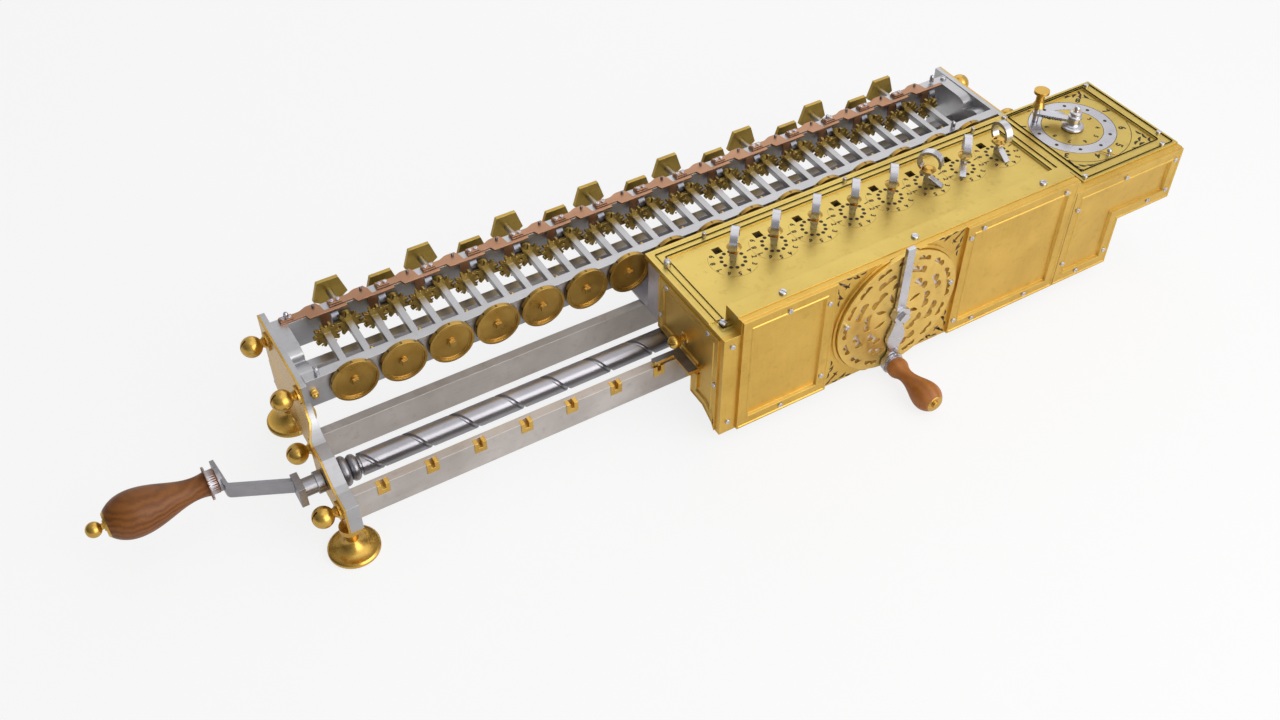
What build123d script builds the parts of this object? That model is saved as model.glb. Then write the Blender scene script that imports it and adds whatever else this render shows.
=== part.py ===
from build123d import *
import math
import os

# Millimetres and degrees. X runs along the machine, Y to the rear, Z up from the table.
# Places are counted from the middle of the frame. The finished pieces are moved so that
# the origin lies on the table, in the middle of the left front foot.

# Counts
result_count = 16
digit_count = 8
place_count = 7
hole_count = 10
gear_teeth = 12
star_teeth = 10
rear_teeth = 10
drum_teeth = 9
drum_tooth_slots = 18

# Driving sizes: the digit pitch sets all lengths, the carriage depth all places in front
digit_pitch = 36.0
carriage_depth = 106.0
carriage_bottom = 9.0
carriage_top = 104.0

# Clearances that many pieces share
run_gap = 0.05
slide_gap = 0.05
pass_gap = 0.5
overrun = 1.0

# Lengths that follow from the digit pitch
end_margin = 14.6
frame_half = result_count * digit_pitch / 2 + end_margin
carriage_margin = 150.0
carriage_length = digit_count * digit_pitch + carriage_margin
right_overhang = 91.8
carriage_left = frame_half + right_overhang - carriage_length

# Places that follow from the carriage depth
wheel_back = -0.7
wheel_thickness = 3.5
wheel_clearance = 3.3
carriage_front = wheel_back - wheel_thickness - wheel_clearance - carriage_depth

# End plates
plate_thickness = 4.0
leg_thickness = 9.2
skin_thickness = 1.5
foot_height = 25.7
leg_setback = 39.9
leg_front = carriage_front + leg_setback
tail_front = -2.5
tail_rear = 80.4
plate_top = 99.6
throat_height = 87.0
ledge_height = 62.0
bevel_height = 51.5
flare_start = -7.2
flare_length = 10.0
leg_span = flare_start - leg_front
bevel_front_share = 0.227
bevel_rear_share = 0.313
ledge_front_share = 0.559
ledge_rear_share = 0.785
bevel_front = leg_front + leg_span * bevel_front_share
bevel_rear = leg_front + leg_span * bevel_rear_share
ledge_front = leg_front + leg_span * ledge_front_share
ledge_rear = leg_front + leg_span * ledge_rear_share
curve_share = (0.32, 0.70)
low_throat_height = 60.0

# Rails
rail_top = 50.1
rail_height = 24.0
rail_width = 7.3
front_rail_setback = 8.6
front_rail_front = leg_front + front_rail_setback
rear_rail_front = -3.3
insert_margin = 20.8
insert_first = insert_margin - frame_half
insert_width = 9.0
insert_height = 9.0
insert_depth = 4.5
insert_proud = 0.6
insert_slot = 3.0
insert_slot_depth = 5.0

# Bars of the result mechanism
bar_width = 8.0
bar_height = 24.0
front_bar_front = 0.5
front_bar_top = 100.0
rear_bar_front = 61.5
rear_bar_top = 99.0
lower_bar_front = 36.5
lower_bar_top = 76.0
lower_bar_height = 14.0
wave_thickness = 10.0
wave_base = 76.0
wave_end_height = 82.0
wave_hump_height = 95.5
wave_dip_height = 90.5
wave_flat_front = 42.0
wave_share = (0.33, 0.66)

# Feet
foot_radius = 18.3
foot_rim = 3.2
foot_lip = 1.2
foot_neck_radius = 4.3
foot_neck_low = 12.0
foot_neck_high = 18.5
foot_collar_radius = 7.2
foot_collar = 4.6
front_foot_reach = 7.9
front_foot_x = frame_half + front_foot_reach
rear_foot_reach = 2.9
rear_foot_x = frame_half + rear_foot_reach
front_foot_setback = 7.3
front_foot_y = leg_front + front_foot_setback
rear_foot_inset = 11.9
rear_foot_y = tail_rear - rear_foot_inset

# Ball-head screws
ball_radius = 7.8
ball_slot = 1.4
ball_slot_depth = 5.0
flange_radius = 7.0
flange_thickness = 1.6
neck_radius = 3.2
neck_length = 2.8
shank_radius = 3.0
shank_reach = 8.0

# Result wheels with arbor and star
wheel_first = -(result_count - 1) / 2 * digit_pitch
wheel_gap = 1.0
wheel_radius = digit_pitch / 2 - wheel_gap
wheel_rim = 1.8
wheel_dish = 1.8
wheel_axis = 88.3
wheel_nut_radius = 3.6
wheel_nut_height = 1.4
wheel_square = 4.4
wheel_step = 1.2
wheel_step_height = 0.6
spindle_radius = 2.0
arbor_side = 5.0
arbor_rear = 48.0
star_radius = 10.0
star_root = 6.6
star_thickness = 3.0
star_tip_share = 0.25
star_root_share = 0.8
cam_front = 11.0
cam_thickness = 2.0
cam_half = 13.0
cam_height = 4.6
cam_drop = 2.0

# Carry shafts with star, cup and five-cornered disc
shaft_radius = 2.5
carry_star_front = 51.5
cup_front = 54.0
cup_length = 5.0
cup_radius = 4.3
cup_rim_radius = 5.8
cup_rim = 1.4
collar_front = 9.0
collar_length = 2.0
collar_radius = 4.2
pentagon_radius = 13.95
pentagon_thickness = 3.0
pentagon_near = 77.0
pentagon_far = 90.0
shaft_end = 2.0

# Copper springs on the rear bar
spring_thickness = 1.4
spring_left = 27.0
spring_bend = 13.0
spring_notch = 9.0
spring_foot = 7.5
spring_hump_left = 4.4
spring_hump_right = 1.5
spring_shoulder = 3.6
spring_neck = 4.5
spring_right = 20.6
spring_front = -3.9
spring_strip = -1.1
spring_inset = 0.3
spring_waist = 5.0
spring_rear = 6.7
spring_hump_rear = 9.3
tab_length = 7.0
tab_drop = 11.0
clamp_length = 9.0
clamp_width = 5.2
clamp_thickness = 1.6
clamp_inset = 0.5

# Carriage
overhang_bottom = 55.0
overhang = 56.0
body_length = carriage_length - overhang
panel_thickness = 3.0
backing_thickness = 2.0
side_thickness = 2.0
top_thickness = 3.0
ledge_left = 13.7
ledge_depth = 19.8
ledge_top = 116.2
panel_top = 116.0
fret_half = 59.0
moulding_width = 2.4
moulding_proud = 1.6
moulding_inset = 3.0
rim_width = 12.0
rim_height = 1.2
box_rim_widths = (9.0, 12.0, 12.0, 6.0)
box_length = 102.0
box_left = carriage_length - box_length
ledge_margin = 13.0
ledge_right = box_left - ledge_margin
side_step = 21.5
side_rear = carriage_depth - side_step
side_floor = 50.6
side_curl = (8.7, 14.6)
side_toe = (21.3, 22.2)
side_heel = (38.0, 22.7)

# Pierced wheel and its fixed ring
disc_place = 3
disc_axis = 62.6
disc_radius = 54.4
disc_thickness = 3.2
disc_gap = 0.5
disc_bore = 4.0
disc_leaves = 8
leaf_inner = 11.5
leaf_outer = 22.5
leaf_half = 2.6
wing_radii = (25.5, 35.5)
wing_spreads = (17.0, 12.5)
wing_heights = (5.4, 5.8)
rim_wing_radius = 46.6
rim_wing_spread = 7.6
rim_wing_height = 3.8
corner_leaf = (62.5, 74.5, 1.7)
corner_side_leaf = (61.0, 67.5, 1.3)
corner_spread = 9.0
ring_gap = 0.5
ring_width = 2.4
window_radius = 50.0

# Crank
crank_throw = 50.0
crank_arm_gap = 1.0
crank_arm_thickness = 3.0
crank_tip = 63.4
crank_tip_half = 3.4
crank_root_half = 4.3
crank_hub_half = 7.5
crank_hub_height = 3.0
crank_square = 7.0
crank_square_height = 3.0
crank_shaft_radius = 4.0
crank_shaft_depth = 6.0
crank_boss_radius = 8.5
crank_pin_radius = 2.5
crank_waist_half = 4.0
crank_bulge_half = 8.0
crank_low_waist_half = 3.8
crank_low_share = (0.20, 0.52, 0.74)

# Crank grip
grip_gap = 0.4
grip_length = 50.0
grip_cap_length = 1.6
grip_cap_radius = 9.0
grip_bead_radius = 8.0
grip_neck_radius = 6.6
grip_bulb_radius = 11.2
grip_button_radius = 3.0
grip_button_length = 1.5
grip_share = (0.06, 0.16, 0.22, 0.45, 0.78)

# Carriage screw
screw_share = 0.445
screw_front = front_rail_front + rail_width
screw_y = screw_front + (rear_rail_front - screw_front) * screw_share
screw_z = 41.0
screw_radius = 8.2
screw_groove = 1.7
screw_groove_turn = 40.0
screw_lead = digit_pitch
screw_bead_radii = (11.0, 9.6)
screw_bead_width = 7.0
screw_plain = 15.5
journal_radius = 5.0
hub_radius = 6.5
hub_collar_radius = 8.0
hub_collar_length = 5.0
hub_length = 14.0
end_button = 4.0
worm_arm_thickness = 3.0
worm_arm_height = 12.0
worm_arm_run = 44.0
worm_arm_rise = 20.0
worm_arm_end = 26.0
worm_arm_bend = 2.2
worm_boss_width = 17.0
worm_throw = 37.0
worm_pin_radius = 2.5
worm_grip_length = 75.4
worm_ring_place = 5.0
worm_ring_radius = 12.0
worm_ring_thickness = 1.5
worm_eye_radius = 8.5
worm_boss_length = 5.0
worm_grip_radius = 16.0
worm_grip_neck = 8.0
worm_grip_bead = 8.8
worm_ball_radius = 5.5
worm_ball_neck = 2.2
worm_ball_gap = 1.7
worm_ball_flange = 3.8
worm_ball_rim = 0.8
worm_grip_share = (0.14, 0.46, 0.80)

# Inner frame of the carriage
bearing_front = 14.0
bearing_thickness = 3.0
bearing_low = 25.0
rear_bearing_inset = 5.0
rear_bearing_front = carriage_depth - rear_bearing_inset
floor_thickness = 1.6
tail_length = 40.0
floor_rear = carriage_depth + tail_length
tail_bearing_inset = 12.0
tail_bearing_front = floor_rear - tail_bearing_inset
tail_bearing_top = 72.0
inner_right = box_left - side_thickness
shoe_length = 15.0
shoe_height = 10.0
shoe_overhang = 2.0
nut_width = 28.0
nut_drop = 12.0
deck_thickness = 3.0

# Setting knobs
knob_margin = 52.7
knob_first = carriage_left + knob_margin
knob_setback = 68.7
knob_y = carriage_front + knob_setback
knob_zero_turn = 50.0
knob_digits = (0, 0, 0, 0, 0, 3, 5, 4)
knob_step = 36.0
knob_spindle_radius = 2.5
knob_drop = 23.0
knob_pinion_radius = 5.5
knob_pinion_length = 4.0
knob_pointer_reach = 13.0
knob_pointer_height = 5.5
knob_pointer_width = 5.0
knob_pointer_lift = 0.4
knob_post_height = 8.0
knob_nut_radius = 5.6
knob_nut_height = 3.6
hook_radius = 9.8
hook_thickness = 2.3
hook_width = 6.0
hook_centre = 19.5
hook_start = -20.0
hook_sweep = 250.0
digit_window = 6.5
digit_window_x = -4.8
digit_window_y = 14.4

# Stepped drums
drum_offset = 7.5
drum_first = knob_first - drum_offset
drum_axis = 62.6
drum_start = 20.0
drum_play = 3.0
drum_length = rear_bearing_front - drum_start - drum_play
drum_core = 8.8
drum_radius = 11.4
drum_tooth_share = 0.5
drum_arbor_radius = 2.5
drum_arbor_front = 6.5
drum_arbor_end = 2.0
drum_arbor_rear = tail_bearing_front + drum_arbor_end
gear_front = 8.0
gear_width = 4.0
gear_mesh = 1.2
gear_relief = 2.0
gear_tip = digit_pitch / 2 + gear_mesh
gear_root = digit_pitch / 2 - gear_relief
gear_tip_share = 0.20
gear_root_share = 0.42
rear_wheel_inset = 12.0
rear_wheel_front = tail_bearing_front - rear_wheel_inset
rear_wheel_width = 6.0
rear_wheel_tip = 9.9
rear_wheel_root = 7.4

# Multiplier dial
dial_margin = 57.0
dial_x = carriage_left + carriage_length - dial_margin
dial_setback = 64.5
dial_y = carriage_front + dial_setback
dial_outer = 35.1
dial_inner = 25.1
dial_hole = 1.2
dial_gap = 0.15
dial_lever_turn = 130.5
dial_spindle_radius = 3.0
dial_base_radius = 7.2
dial_base_height = 3.2
dial_bead_radius = 4.6
dial_stack_height = 16.0
dial_lever_lift = 6.0
dial_lever_thickness = 2.4
dial_lever_width = 6.0
dial_post_radius = 2.4
dial_post_lift = 0.3
dial_post_height = 14.0
dial_knob_radius = 6.2
dial_knob_waist = 3.4
dial_knob_foot = 5.2
dial_knob_height = 15.0

# Latch
latch_reach = 22.2
latch_x = carriage_left - latch_reach
latch_setback = 29.0
latch_y = carriage_front + latch_setback
latch_z = 47.0
latch_pin = 2.0
latch_width = 8.0
latch_thickness = 2.4
latch_tooth = 2.0
latch_gap = 0.15
latch_rise = 3.2
gusset_thickness = 2.0
gusset_depth = 17.9
gusset_rear = latch_y + gusset_depth
gusset_low = 33.0

frame_outside = frame_half + leg_thickness + skin_thickness
disc_x = drum_first + disc_place * digit_pitch
fret_left = disc_x - carriage_left - fret_half
fret_right = disc_x - carriage_left + fret_half
crank_shaft_rear = carriage_front + crank_shaft_depth
worm_hub_end = -frame_outside - pass_gap - hub_length
worm_pin_x = worm_hub_end - worm_arm_run - worm_arm_bend
worm_grip_x = worm_pin_x - worm_arm_thickness / 2 - grip_gap


def block(x0, x1, y0, y1, z0, z1):
    middle = Pos((x0 + x1) / 2, (y0 + y1) / 2, (z0 + z1) / 2)
    return middle * Box(x1 - x0, y1 - y0, z1 - z0)


def rod_x(radius, x0, x1, y, z):
    return Pos((x0 + x1) / 2, y, z) * Rot(0, 90, 0) * Cylinder(radius, x1 - x0)


def rod_y(radius, y0, y1, x, z):
    return Pos(x, (y0 + y1) / 2, z) * Rot(90, 0, 0) * Cylinder(radius, y1 - y0)


def rod_z(radius, z0, z1, x, y):
    return Pos(x, y, (z0 + z1) / 2) * Cylinder(radius, z1 - z0)


def polygon(points):
    return make_face(Polyline(*points, close=True))


def prism_x(face, x0, x1):
    return Pos(x0, 0, 0) * extrude(Plane.YZ * face, x1 - x0)


def prism_y(face, y0, y1):
    return Pos(0, y1, 0) * extrude(Plane.XZ * face, y1 - y0)


def prism_z(face, z0, z1):
    return Pos(0, 0, z0) * extrude(face, z1 - z0)


def turned(*edges):
    return revolve(Plane.XZ * make_face(Curve() + list(edges)), Axis.Z)


def turned_points(*points):
    return turned(Polyline(*points, close=True))


def between(start, end, share):
    return start + (end - start) * share


def toothed_face(count, tip, root, tip_share, root_share, phase):
    points = []
    pitch = 360 / count
    for tooth in range(count):
        middle = phase + tooth * pitch
        for radius, share in (
            (root, -root_share / 2),
            (tip, -tip_share / 2),
            (tip, tip_share / 2),
            (root, root_share / 2),
        ):
            angle = math.radians(middle + share * pitch)
            points.append((radius * math.cos(angle), radius * math.sin(angle)))
    return polygon(points)


# Frame


def bar_middles():
    rail_z = rail_top - rail_height / 2
    return (
        (front_bar_front + bar_width / 2, front_bar_top - bar_height / 2),
        (rear_bar_front + bar_width / 2, rear_bar_top - bar_height / 2),
        (rear_rail_front + rail_width / 2, rail_z),
        (front_rail_front + rail_width / 2, rail_z),
    )


def end_plan(extra):
    low = leg_front - overrun
    high = tail_rear + overrun
    outside = frame_half + plate_thickness + extra
    flared = frame_half + leg_thickness + extra
    return polygon(
        (
            (frame_half, low),
            (frame_half, high),
            (outside, high),
            (outside, flare_start),
            (flared, flare_start - flare_length),
            (flared, low),
        )
    )


def end_bores():
    inside = frame_half - overrun
    reach = frame_outside + overrun
    bores = [rod_x(journal_radius + run_gap, inside, reach, screw_y, screw_z)]
    for y, z in bar_middles():
        bores.append(rod_x(shank_radius + run_gap, inside, reach, y, z))
    return bores


def end_layer(profile, plan):
    layer = prism_x(profile, frame_half, frame_outside)
    layer &= prism_z(plan, foot_height, plate_top)
    for bore in end_bores():
        layer -= bore
    return layer


def end_plate(profile):
    return end_layer(profile, end_plan(0))


def end_skin(profile):
    return end_layer(profile, end_plan(skin_thickness) - end_plan(0))


def left_profile():
    middle = (
        between(tail_front, ledge_rear, curve_share[0]),
        between(throat_height, ledge_height, curve_share[1]),
    )
    throat = ThreePointArc(
        (tail_front, throat_height), middle, (ledge_rear, ledge_height)
    )
    rest = Polyline(
        (ledge_rear, ledge_height),
        (ledge_front, ledge_height),
        (bevel_rear, bevel_height),
        (bevel_front, rail_top),
        (leg_front, rail_top),
        (leg_front, foot_height),
        (tail_rear, foot_height),
        (tail_rear, plate_top),
        (tail_front, plate_top),
        (tail_front, throat_height),
    )
    return make_face(Curve() + [throat, rest])


def right_profile():
    passing = carriage_front + carriage_depth + pass_gap
    return polygon(
        (
            (tail_front, low_throat_height),
            (passing, rail_top),
            (leg_front, rail_top),
            (leg_front, foot_height),
            (tail_rear, foot_height),
            (tail_rear, plate_top),
            (tail_front, plate_top),
        )
    )


def face_plates():
    left = mirror(end_skin(left_profile()), Plane.YZ)
    return Compound(children=[left, end_skin(right_profile())])


def foot():
    collar_low = foot_height - foot_collar
    middle = (
        between(foot_radius - foot_lip, foot_neck_radius, curve_share[1]),
        between(foot_rim + foot_lip, foot_neck_low, curve_share[0]),
    )
    return turned(
        Polyline(
            (foot_neck_radius, foot_neck_high),
            (foot_collar_radius, collar_low),
            (foot_collar_radius, foot_height),
            (0, foot_height),
            (0, 0),
            (foot_radius - foot_lip, 0),
            (foot_radius, foot_lip),
            (foot_radius, foot_rim),
            (foot_radius - foot_lip, foot_rim + foot_lip),
        ),
        ThreePointArc(
            (foot_radius - foot_lip, foot_rim + foot_lip),
            middle,
            (foot_neck_radius, foot_neck_low),
        ),
        Line((foot_neck_radius, foot_neck_low), (foot_neck_radius, foot_neck_high)),
    )


def feet():
    placed = []
    for side in (-1, 1):
        placed.append(Pos(side * front_foot_x, front_foot_y, 0) * foot())
        placed.append(Pos(side * rear_foot_x, rear_foot_y, 0) * foot())
    return Compound(children=placed)


def ball_screw(grip):
    neck_top = flange_thickness + neck_length
    centre = neck_top + math.sqrt(ball_radius**2 - neck_radius**2)
    screw = turned(
        Polyline(
            (0, centre + ball_radius),
            (0, -grip),
            (shank_radius, -grip),
            (shank_radius, 0),
            (flange_radius, 0),
            (flange_radius, flange_thickness),
        ),
        ThreePointArc(
            (flange_radius, flange_thickness),
            (
                between(flange_radius, neck_radius, curve_share[1]),
                between(flange_thickness, neck_top, curve_share[0]),
            ),
            (neck_radius, neck_top),
        ),
        ThreePointArc(
            (neck_radius, neck_top), (ball_radius, centre), (0, centre + ball_radius)
        ),
    )
    return screw - block(
        -ball_radius,
        ball_radius,
        -ball_slot / 2,
        ball_slot / 2,
        centre + ball_radius - ball_slot_depth,
        centre + ball_radius + overrun,
    )


def ball_head_screws():
    placed = []
    for index, (y, z) in enumerate(bar_middles()):
        outside = plate_thickness + skin_thickness
        if index == 3:
            outside = leg_thickness + skin_thickness
        screw = ball_screw(outside + shank_reach)
        for side in (-1, 1):
            seat = Pos(side * (frame_half + outside), y, z)
            placed.append(seat * Rot(0, side * 90, 0) * screw)
    return Compound(children=placed)


def tapped_bar(x_half, y0, y1, z0, z1, y, z):
    bar = block(-x_half, x_half, y0, y1, z0, z1)
    for side in (-1, 1):
        deep = side * (x_half - shank_reach - overrun)
        open_end = side * (x_half + overrun)
        bar -= rod_x(shank_radius + run_gap, min(deep, open_end), max(deep, open_end), y, z)
    return bar


def rail(front, middle):
    return tapped_bar(
        frame_half,
        front,
        front + rail_width,
        rail_top - rail_height,
        rail_top,
        *middle,
    )


def insert_body(x, gap):
    return block(
        x - insert_width / 2 - gap,
        x + insert_width / 2 + gap,
        front_rail_front - insert_proud,
        front_rail_front + insert_depth + gap,
        rail_top - insert_height - gap,
        rail_top,
    )


def front_rail():
    bar = rail(front_rail_front, bar_middles()[3])
    for place in range(place_count):
        bar -= insert_body(insert_first + place * digit_pitch, 0)
    return bar


def rear_rail():
    return rail(rear_rail_front, bar_middles()[2])


def rail_inserts():
    placed = []
    for place in range(place_count):
        x = insert_first + place * digit_pitch
        slot = block(
            x - insert_slot / 2,
            x + insert_slot / 2,
            front_rail_front - insert_proud - overrun,
            front_rail_front + insert_depth + overrun,
            rail_top - insert_slot_depth,
            rail_top + overrun,
        )
        placed.append(insert_body(x, 0) - slot)
    return Compound(children=placed)


def wheel_xs():
    return [wheel_first + index * digit_pitch for index in range(result_count)]


def carry_xs():
    return [x + digit_pitch / 2 for x in wheel_xs()[:-1]]


def result_bars():
    middles = bar_middles()
    front = tapped_bar(
        frame_half,
        front_bar_front,
        front_bar_front + bar_width,
        front_bar_top - bar_height,
        front_bar_top,
        *middles[0],
    )
    for x in wheel_xs():
        front -= rod_y(
            spindle_radius + run_gap,
            front_bar_front - overrun,
            front_bar_front + bar_width + overrun,
            x,
            wheel_axis,
        )
    rear = tapped_bar(
        frame_half,
        rear_bar_front,
        rear_bar_front + bar_width,
        rear_bar_top - bar_height,
        rear_bar_top,
        *middles[1],
    )
    for x in carry_xs():
        rear -= rod_y(
            shaft_radius + run_gap,
            rear_bar_front - overrun,
            rear_bar_front + bar_width + overrun,
            x,
            wheel_axis,
        )
    lower = block(
        -frame_half,
        frame_half,
        lower_bar_front,
        lower_bar_front + bar_width,
        lower_bar_top - lower_bar_height,
        lower_bar_top,
    )
    return Compound(children=[front, rear, lower])


def wave_blocks():
    front = front_bar_front + bar_width
    top = Spline(
        (front, wave_end_height),
        (between(front, wave_flat_front, wave_share[0]), wave_hump_height),
        (between(front, wave_flat_front, wave_share[1]), wave_dip_height),
        (wave_flat_front, rear_bar_top),
        tangents=((0, 1), (1, 0)),
    )
    rest = Polyline(
        (wave_flat_front, rear_bar_top),
        (rear_bar_front, rear_bar_top),
        (rear_bar_front, wave_base),
        (front, wave_base),
        (front, wave_end_height),
    )
    shape = prism_x(
        make_face(Curve() + [top, rest]), frame_half - wave_thickness, frame_half
    )
    return Compound(children=[shape, mirror(shape, Plane.YZ)])


def pentagon_front(index):
    return pentagon_far if index % 2 == 0 else pentagon_near


def carry_shafts():
    front = front_bar_front + bar_width
    half = arbor_side / 2
    placed = []
    for index, x in enumerate(carry_xs()):
        rear = pentagon_front(index) + pentagon_thickness + shaft_end
        shaft = rod_y(shaft_radius, front, rear, x, wheel_axis)
        shaft += block(
            x - half,
            x + half,
            collar_front + collar_length,
            carry_star_front,
            wheel_axis - half,
            wheel_axis + half,
        )
        placed.append(shaft)
    return Compound(children=placed)


def star_face(phase):
    return toothed_face(
        star_teeth, star_radius, star_root, star_tip_share, star_root_share, phase
    )


def cup():
    bore = shaft_radius + run_gap
    return turned_points(
        (bore, 0),
        (cup_radius, 0),
        (cup_rim_radius, cup_length),
        (cup_rim_radius, cup_length + cup_rim),
        (bore, cup_length + cup_rim),
    )


def carry_wheel():
    face = star_face(180 / star_teeth) - Circle(shaft_radius + run_gap)
    star = prism_y(face, carry_star_front, cup_front)
    return star + Pos(0, cup_front, 0) * Rot(-90, 0, 0) * cup()


def carry_wheels():
    wheel = carry_wheel()
    ring = Circle(collar_radius) - Circle(shaft_radius + run_gap)
    collar = prism_y(ring, collar_front, collar_front + collar_length)
    placed = []
    for x in carry_xs():
        placed.append(Pos(x, 0, wheel_axis) * wheel)
        placed.append(Pos(x, 0, wheel_axis) * collar)
    return Compound(children=placed)


def pentagon_discs():
    face = RegularPolygon(pentagon_radius, 5, rotation=-90)
    face -= Circle(shaft_radius + run_gap)
    disc = prism_y(face, 0, pentagon_thickness)
    placed = []
    for index, x in enumerate(carry_xs()):
        placed.append(Pos(x, pentagon_front(index), wheel_axis) * disc)
    return Compound(children=placed)


def spring_outline(x):
    bar = rear_bar_front
    hump = bar + spring_hump_rear
    edge = Polyline(
        (x - spring_left, bar + spring_rear),
        (x - spring_left, bar + spring_inset),
        (x - spring_notch, bar + spring_inset),
        (x - spring_foot, bar + spring_front),
        (x + spring_right, bar + spring_front),
        (x + spring_right, bar + spring_strip),
        (x + spring_neck, bar + spring_strip),
        (x + spring_shoulder, bar + spring_waist),
        (x + spring_hump_right, hump),
        (x - spring_hump_left, hump),
    )
    bend = Spline(
        (x - spring_hump_left, hump),
        (x - spring_bend, bar + spring_rear),
        tangents=((-1, 0), (-1, 0)),
    )
    rest = Line(
        (x - spring_bend, bar + spring_rear), (x - spring_left, bar + spring_rear)
    )
    return make_face(Curve() + [edge, bend, rest])


def carry_plates():
    low = rear_bar_top
    high = low + spring_thickness
    placed = []
    for x in wheel_xs():
        plate = prism_z(spring_outline(x), low, high)
        tab = rear_bar_front + spring_front
        plate += block(
            x, x + tab_length, tab, tab + spring_thickness, low - tab_drop, high
        )
        placed.append(plate)
        left = x - spring_left + clamp_inset
        front = rear_bar_front + spring_inset + clamp_inset
        placed.append(
            block(
                left,
                left + clamp_length,
                front,
                front + clamp_width,
                high,
                high + clamp_thickness,
            )
        )
    return Compound(children=placed)


def result_wheel(x):
    rim = wheel_radius - wheel_rim
    step = wheel_dish + wheel_step_height
    dish = turned_points(
        (0, 0),
        (wheel_radius, 0),
        (wheel_radius, wheel_thickness),
        (rim, wheel_thickness),
        (rim, step),
        (rim - wheel_step, step),
        (rim - wheel_step, wheel_dish),
        (0, wheel_dish),
    )
    nut_top = wheel_dish + wheel_nut_height
    nut = rod_z(wheel_nut_radius, wheel_dish, nut_top, 0, 0)
    nut += prism_z(
        Rectangle(wheel_square, wheel_square), nut_top, nut_top + wheel_nut_height
    )
    turn = Pos(x, wheel_back, wheel_axis) * Rot(90, 0, 0)
    bar_rear = front_bar_front + bar_width
    half = arbor_side / 2
    arbor = rod_y(spindle_radius, wheel_back, bar_rear, x, wheel_axis)
    arbor += block(
        x - half, x + half, bar_rear, arbor_rear, wheel_axis - half, wheel_axis + half
    )
    cam = Pos(0, -cam_drop) * Ellipse(cam_half, cam_height)
    seat = Pos(x, 0, wheel_axis)
    arbor += seat * prism_y(cam, cam_front, cam_front + cam_thickness)
    star = seat * prism_y(star_face(0), arbor_rear, arbor_rear + star_thickness)
    return Compound(children=[turn * dish, turn * nut, arbor, star])


# Carriage


def along(x):
    return carriage_left + x


def back(y):
    return carriage_front + y


def framed(x0, x1, z0, z1, thickness):
    panel = block(
        along(x0), along(x1), back(0), back(thickness), z0, z1
    )
    outer = moulding_inset
    inner = moulding_inset + moulding_width
    border = block(
        along(x0 + outer),
        along(x1 - outer),
        back(-moulding_proud),
        back(0),
        z0 + outer,
        z1 - outer,
    )
    border -= block(
        along(x0 + inner),
        along(x1 - inner),
        back(-moulding_proud),
        back(0),
        z0 + inner,
        z1 - inner,
    )
    return panel + border


def corner_panel():
    thickness = panel_thickness + backing_thickness

    def outline(inset):
        return polygon(
            (
                (along(ledge_right + inset), carriage_bottom + inset),
                (along(body_length - inset), carriage_bottom + inset),
                (along(body_length - inset), overhang_bottom + inset),
                (along(carriage_length - inset), overhang_bottom + inset),
                (along(carriage_length - inset), carriage_top - inset),
                (along(ledge_right + inset), carriage_top - inset),
            )
        )

    panel = prism_y(outline(0), back(0), back(thickness))
    border = outline(moulding_inset) - outline(moulding_inset + moulding_width)
    return panel + prism_y(border, back(-moulding_proud), back(0))


def front_cover():
    strip = block(
        along(0),
        along(ledge_left),
        back(0),
        back(panel_thickness + backing_thickness),
        carriage_bottom,
        carriage_top,
    )
    left = framed(ledge_left, fret_left, carriage_bottom, panel_top, panel_thickness)
    right = framed(fret_right, ledge_right, carriage_bottom, panel_top, panel_thickness)
    return Compound(children=[strip, left, right, corner_panel()])


def corner_slots():
    slots = []
    for rise in (panel_top - disc_axis, carriage_bottom - disc_axis):
        for side in (-fret_half, fret_half):
            turn = math.degrees(math.atan2(rise, side))
            slots.append(leaf(*corner_leaf, turn))
            slots.append(leaf(*corner_side_leaf, turn - corner_spread))
            slots.append(leaf(*corner_side_leaf, turn + corner_spread))
    return slots


def fretwork_panel():
    panel = block(
        along(fret_left),
        along(fret_right),
        back(0),
        back(panel_thickness),
        carriage_bottom,
        panel_top,
    )
    seat = Pos(disc_x, 0, disc_axis)
    through = (back(-overrun), back(panel_thickness + overrun))
    panel -= rod_y(window_radius, *through, disc_x, disc_axis)
    for slot in corner_slots():
        panel -= seat * prism_y(slot, *through)
    inside = disc_radius + ring_gap
    ring = Circle(inside + ring_width) - Circle(inside)
    ring = seat * prism_y(ring, back(-moulding_proud), back(0))
    ring &= block(
        along(fret_left),
        along(fret_right),
        back(-moulding_proud),
        back(0),
        carriage_bottom,
        panel_top,
    )
    return panel + ring


def front_ledge():
    return block(
        along(ledge_left),
        along(ledge_right),
        back(panel_thickness + backing_thickness),
        back(ledge_depth),
        carriage_top,
        ledge_top,
    )


def rim_frame(x0, x1, y0, y1, widths):
    left, right, front, rear = widths
    ring = block(
        along(x0), along(x1), back(y0), back(y1), carriage_top, carriage_top + rim_height
    )
    return ring - block(
        along(x0 + left),
        along(x1 - right),
        back(y0 + front),
        back(y1 - rear),
        carriage_top,
        carriage_top + rim_height,
    )


def knob_xs():
    return [knob_first + index * digit_pitch for index in range(digit_count)]


def drum_xs():
    return [drum_first + index * digit_pitch for index in range(digit_count)]


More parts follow.
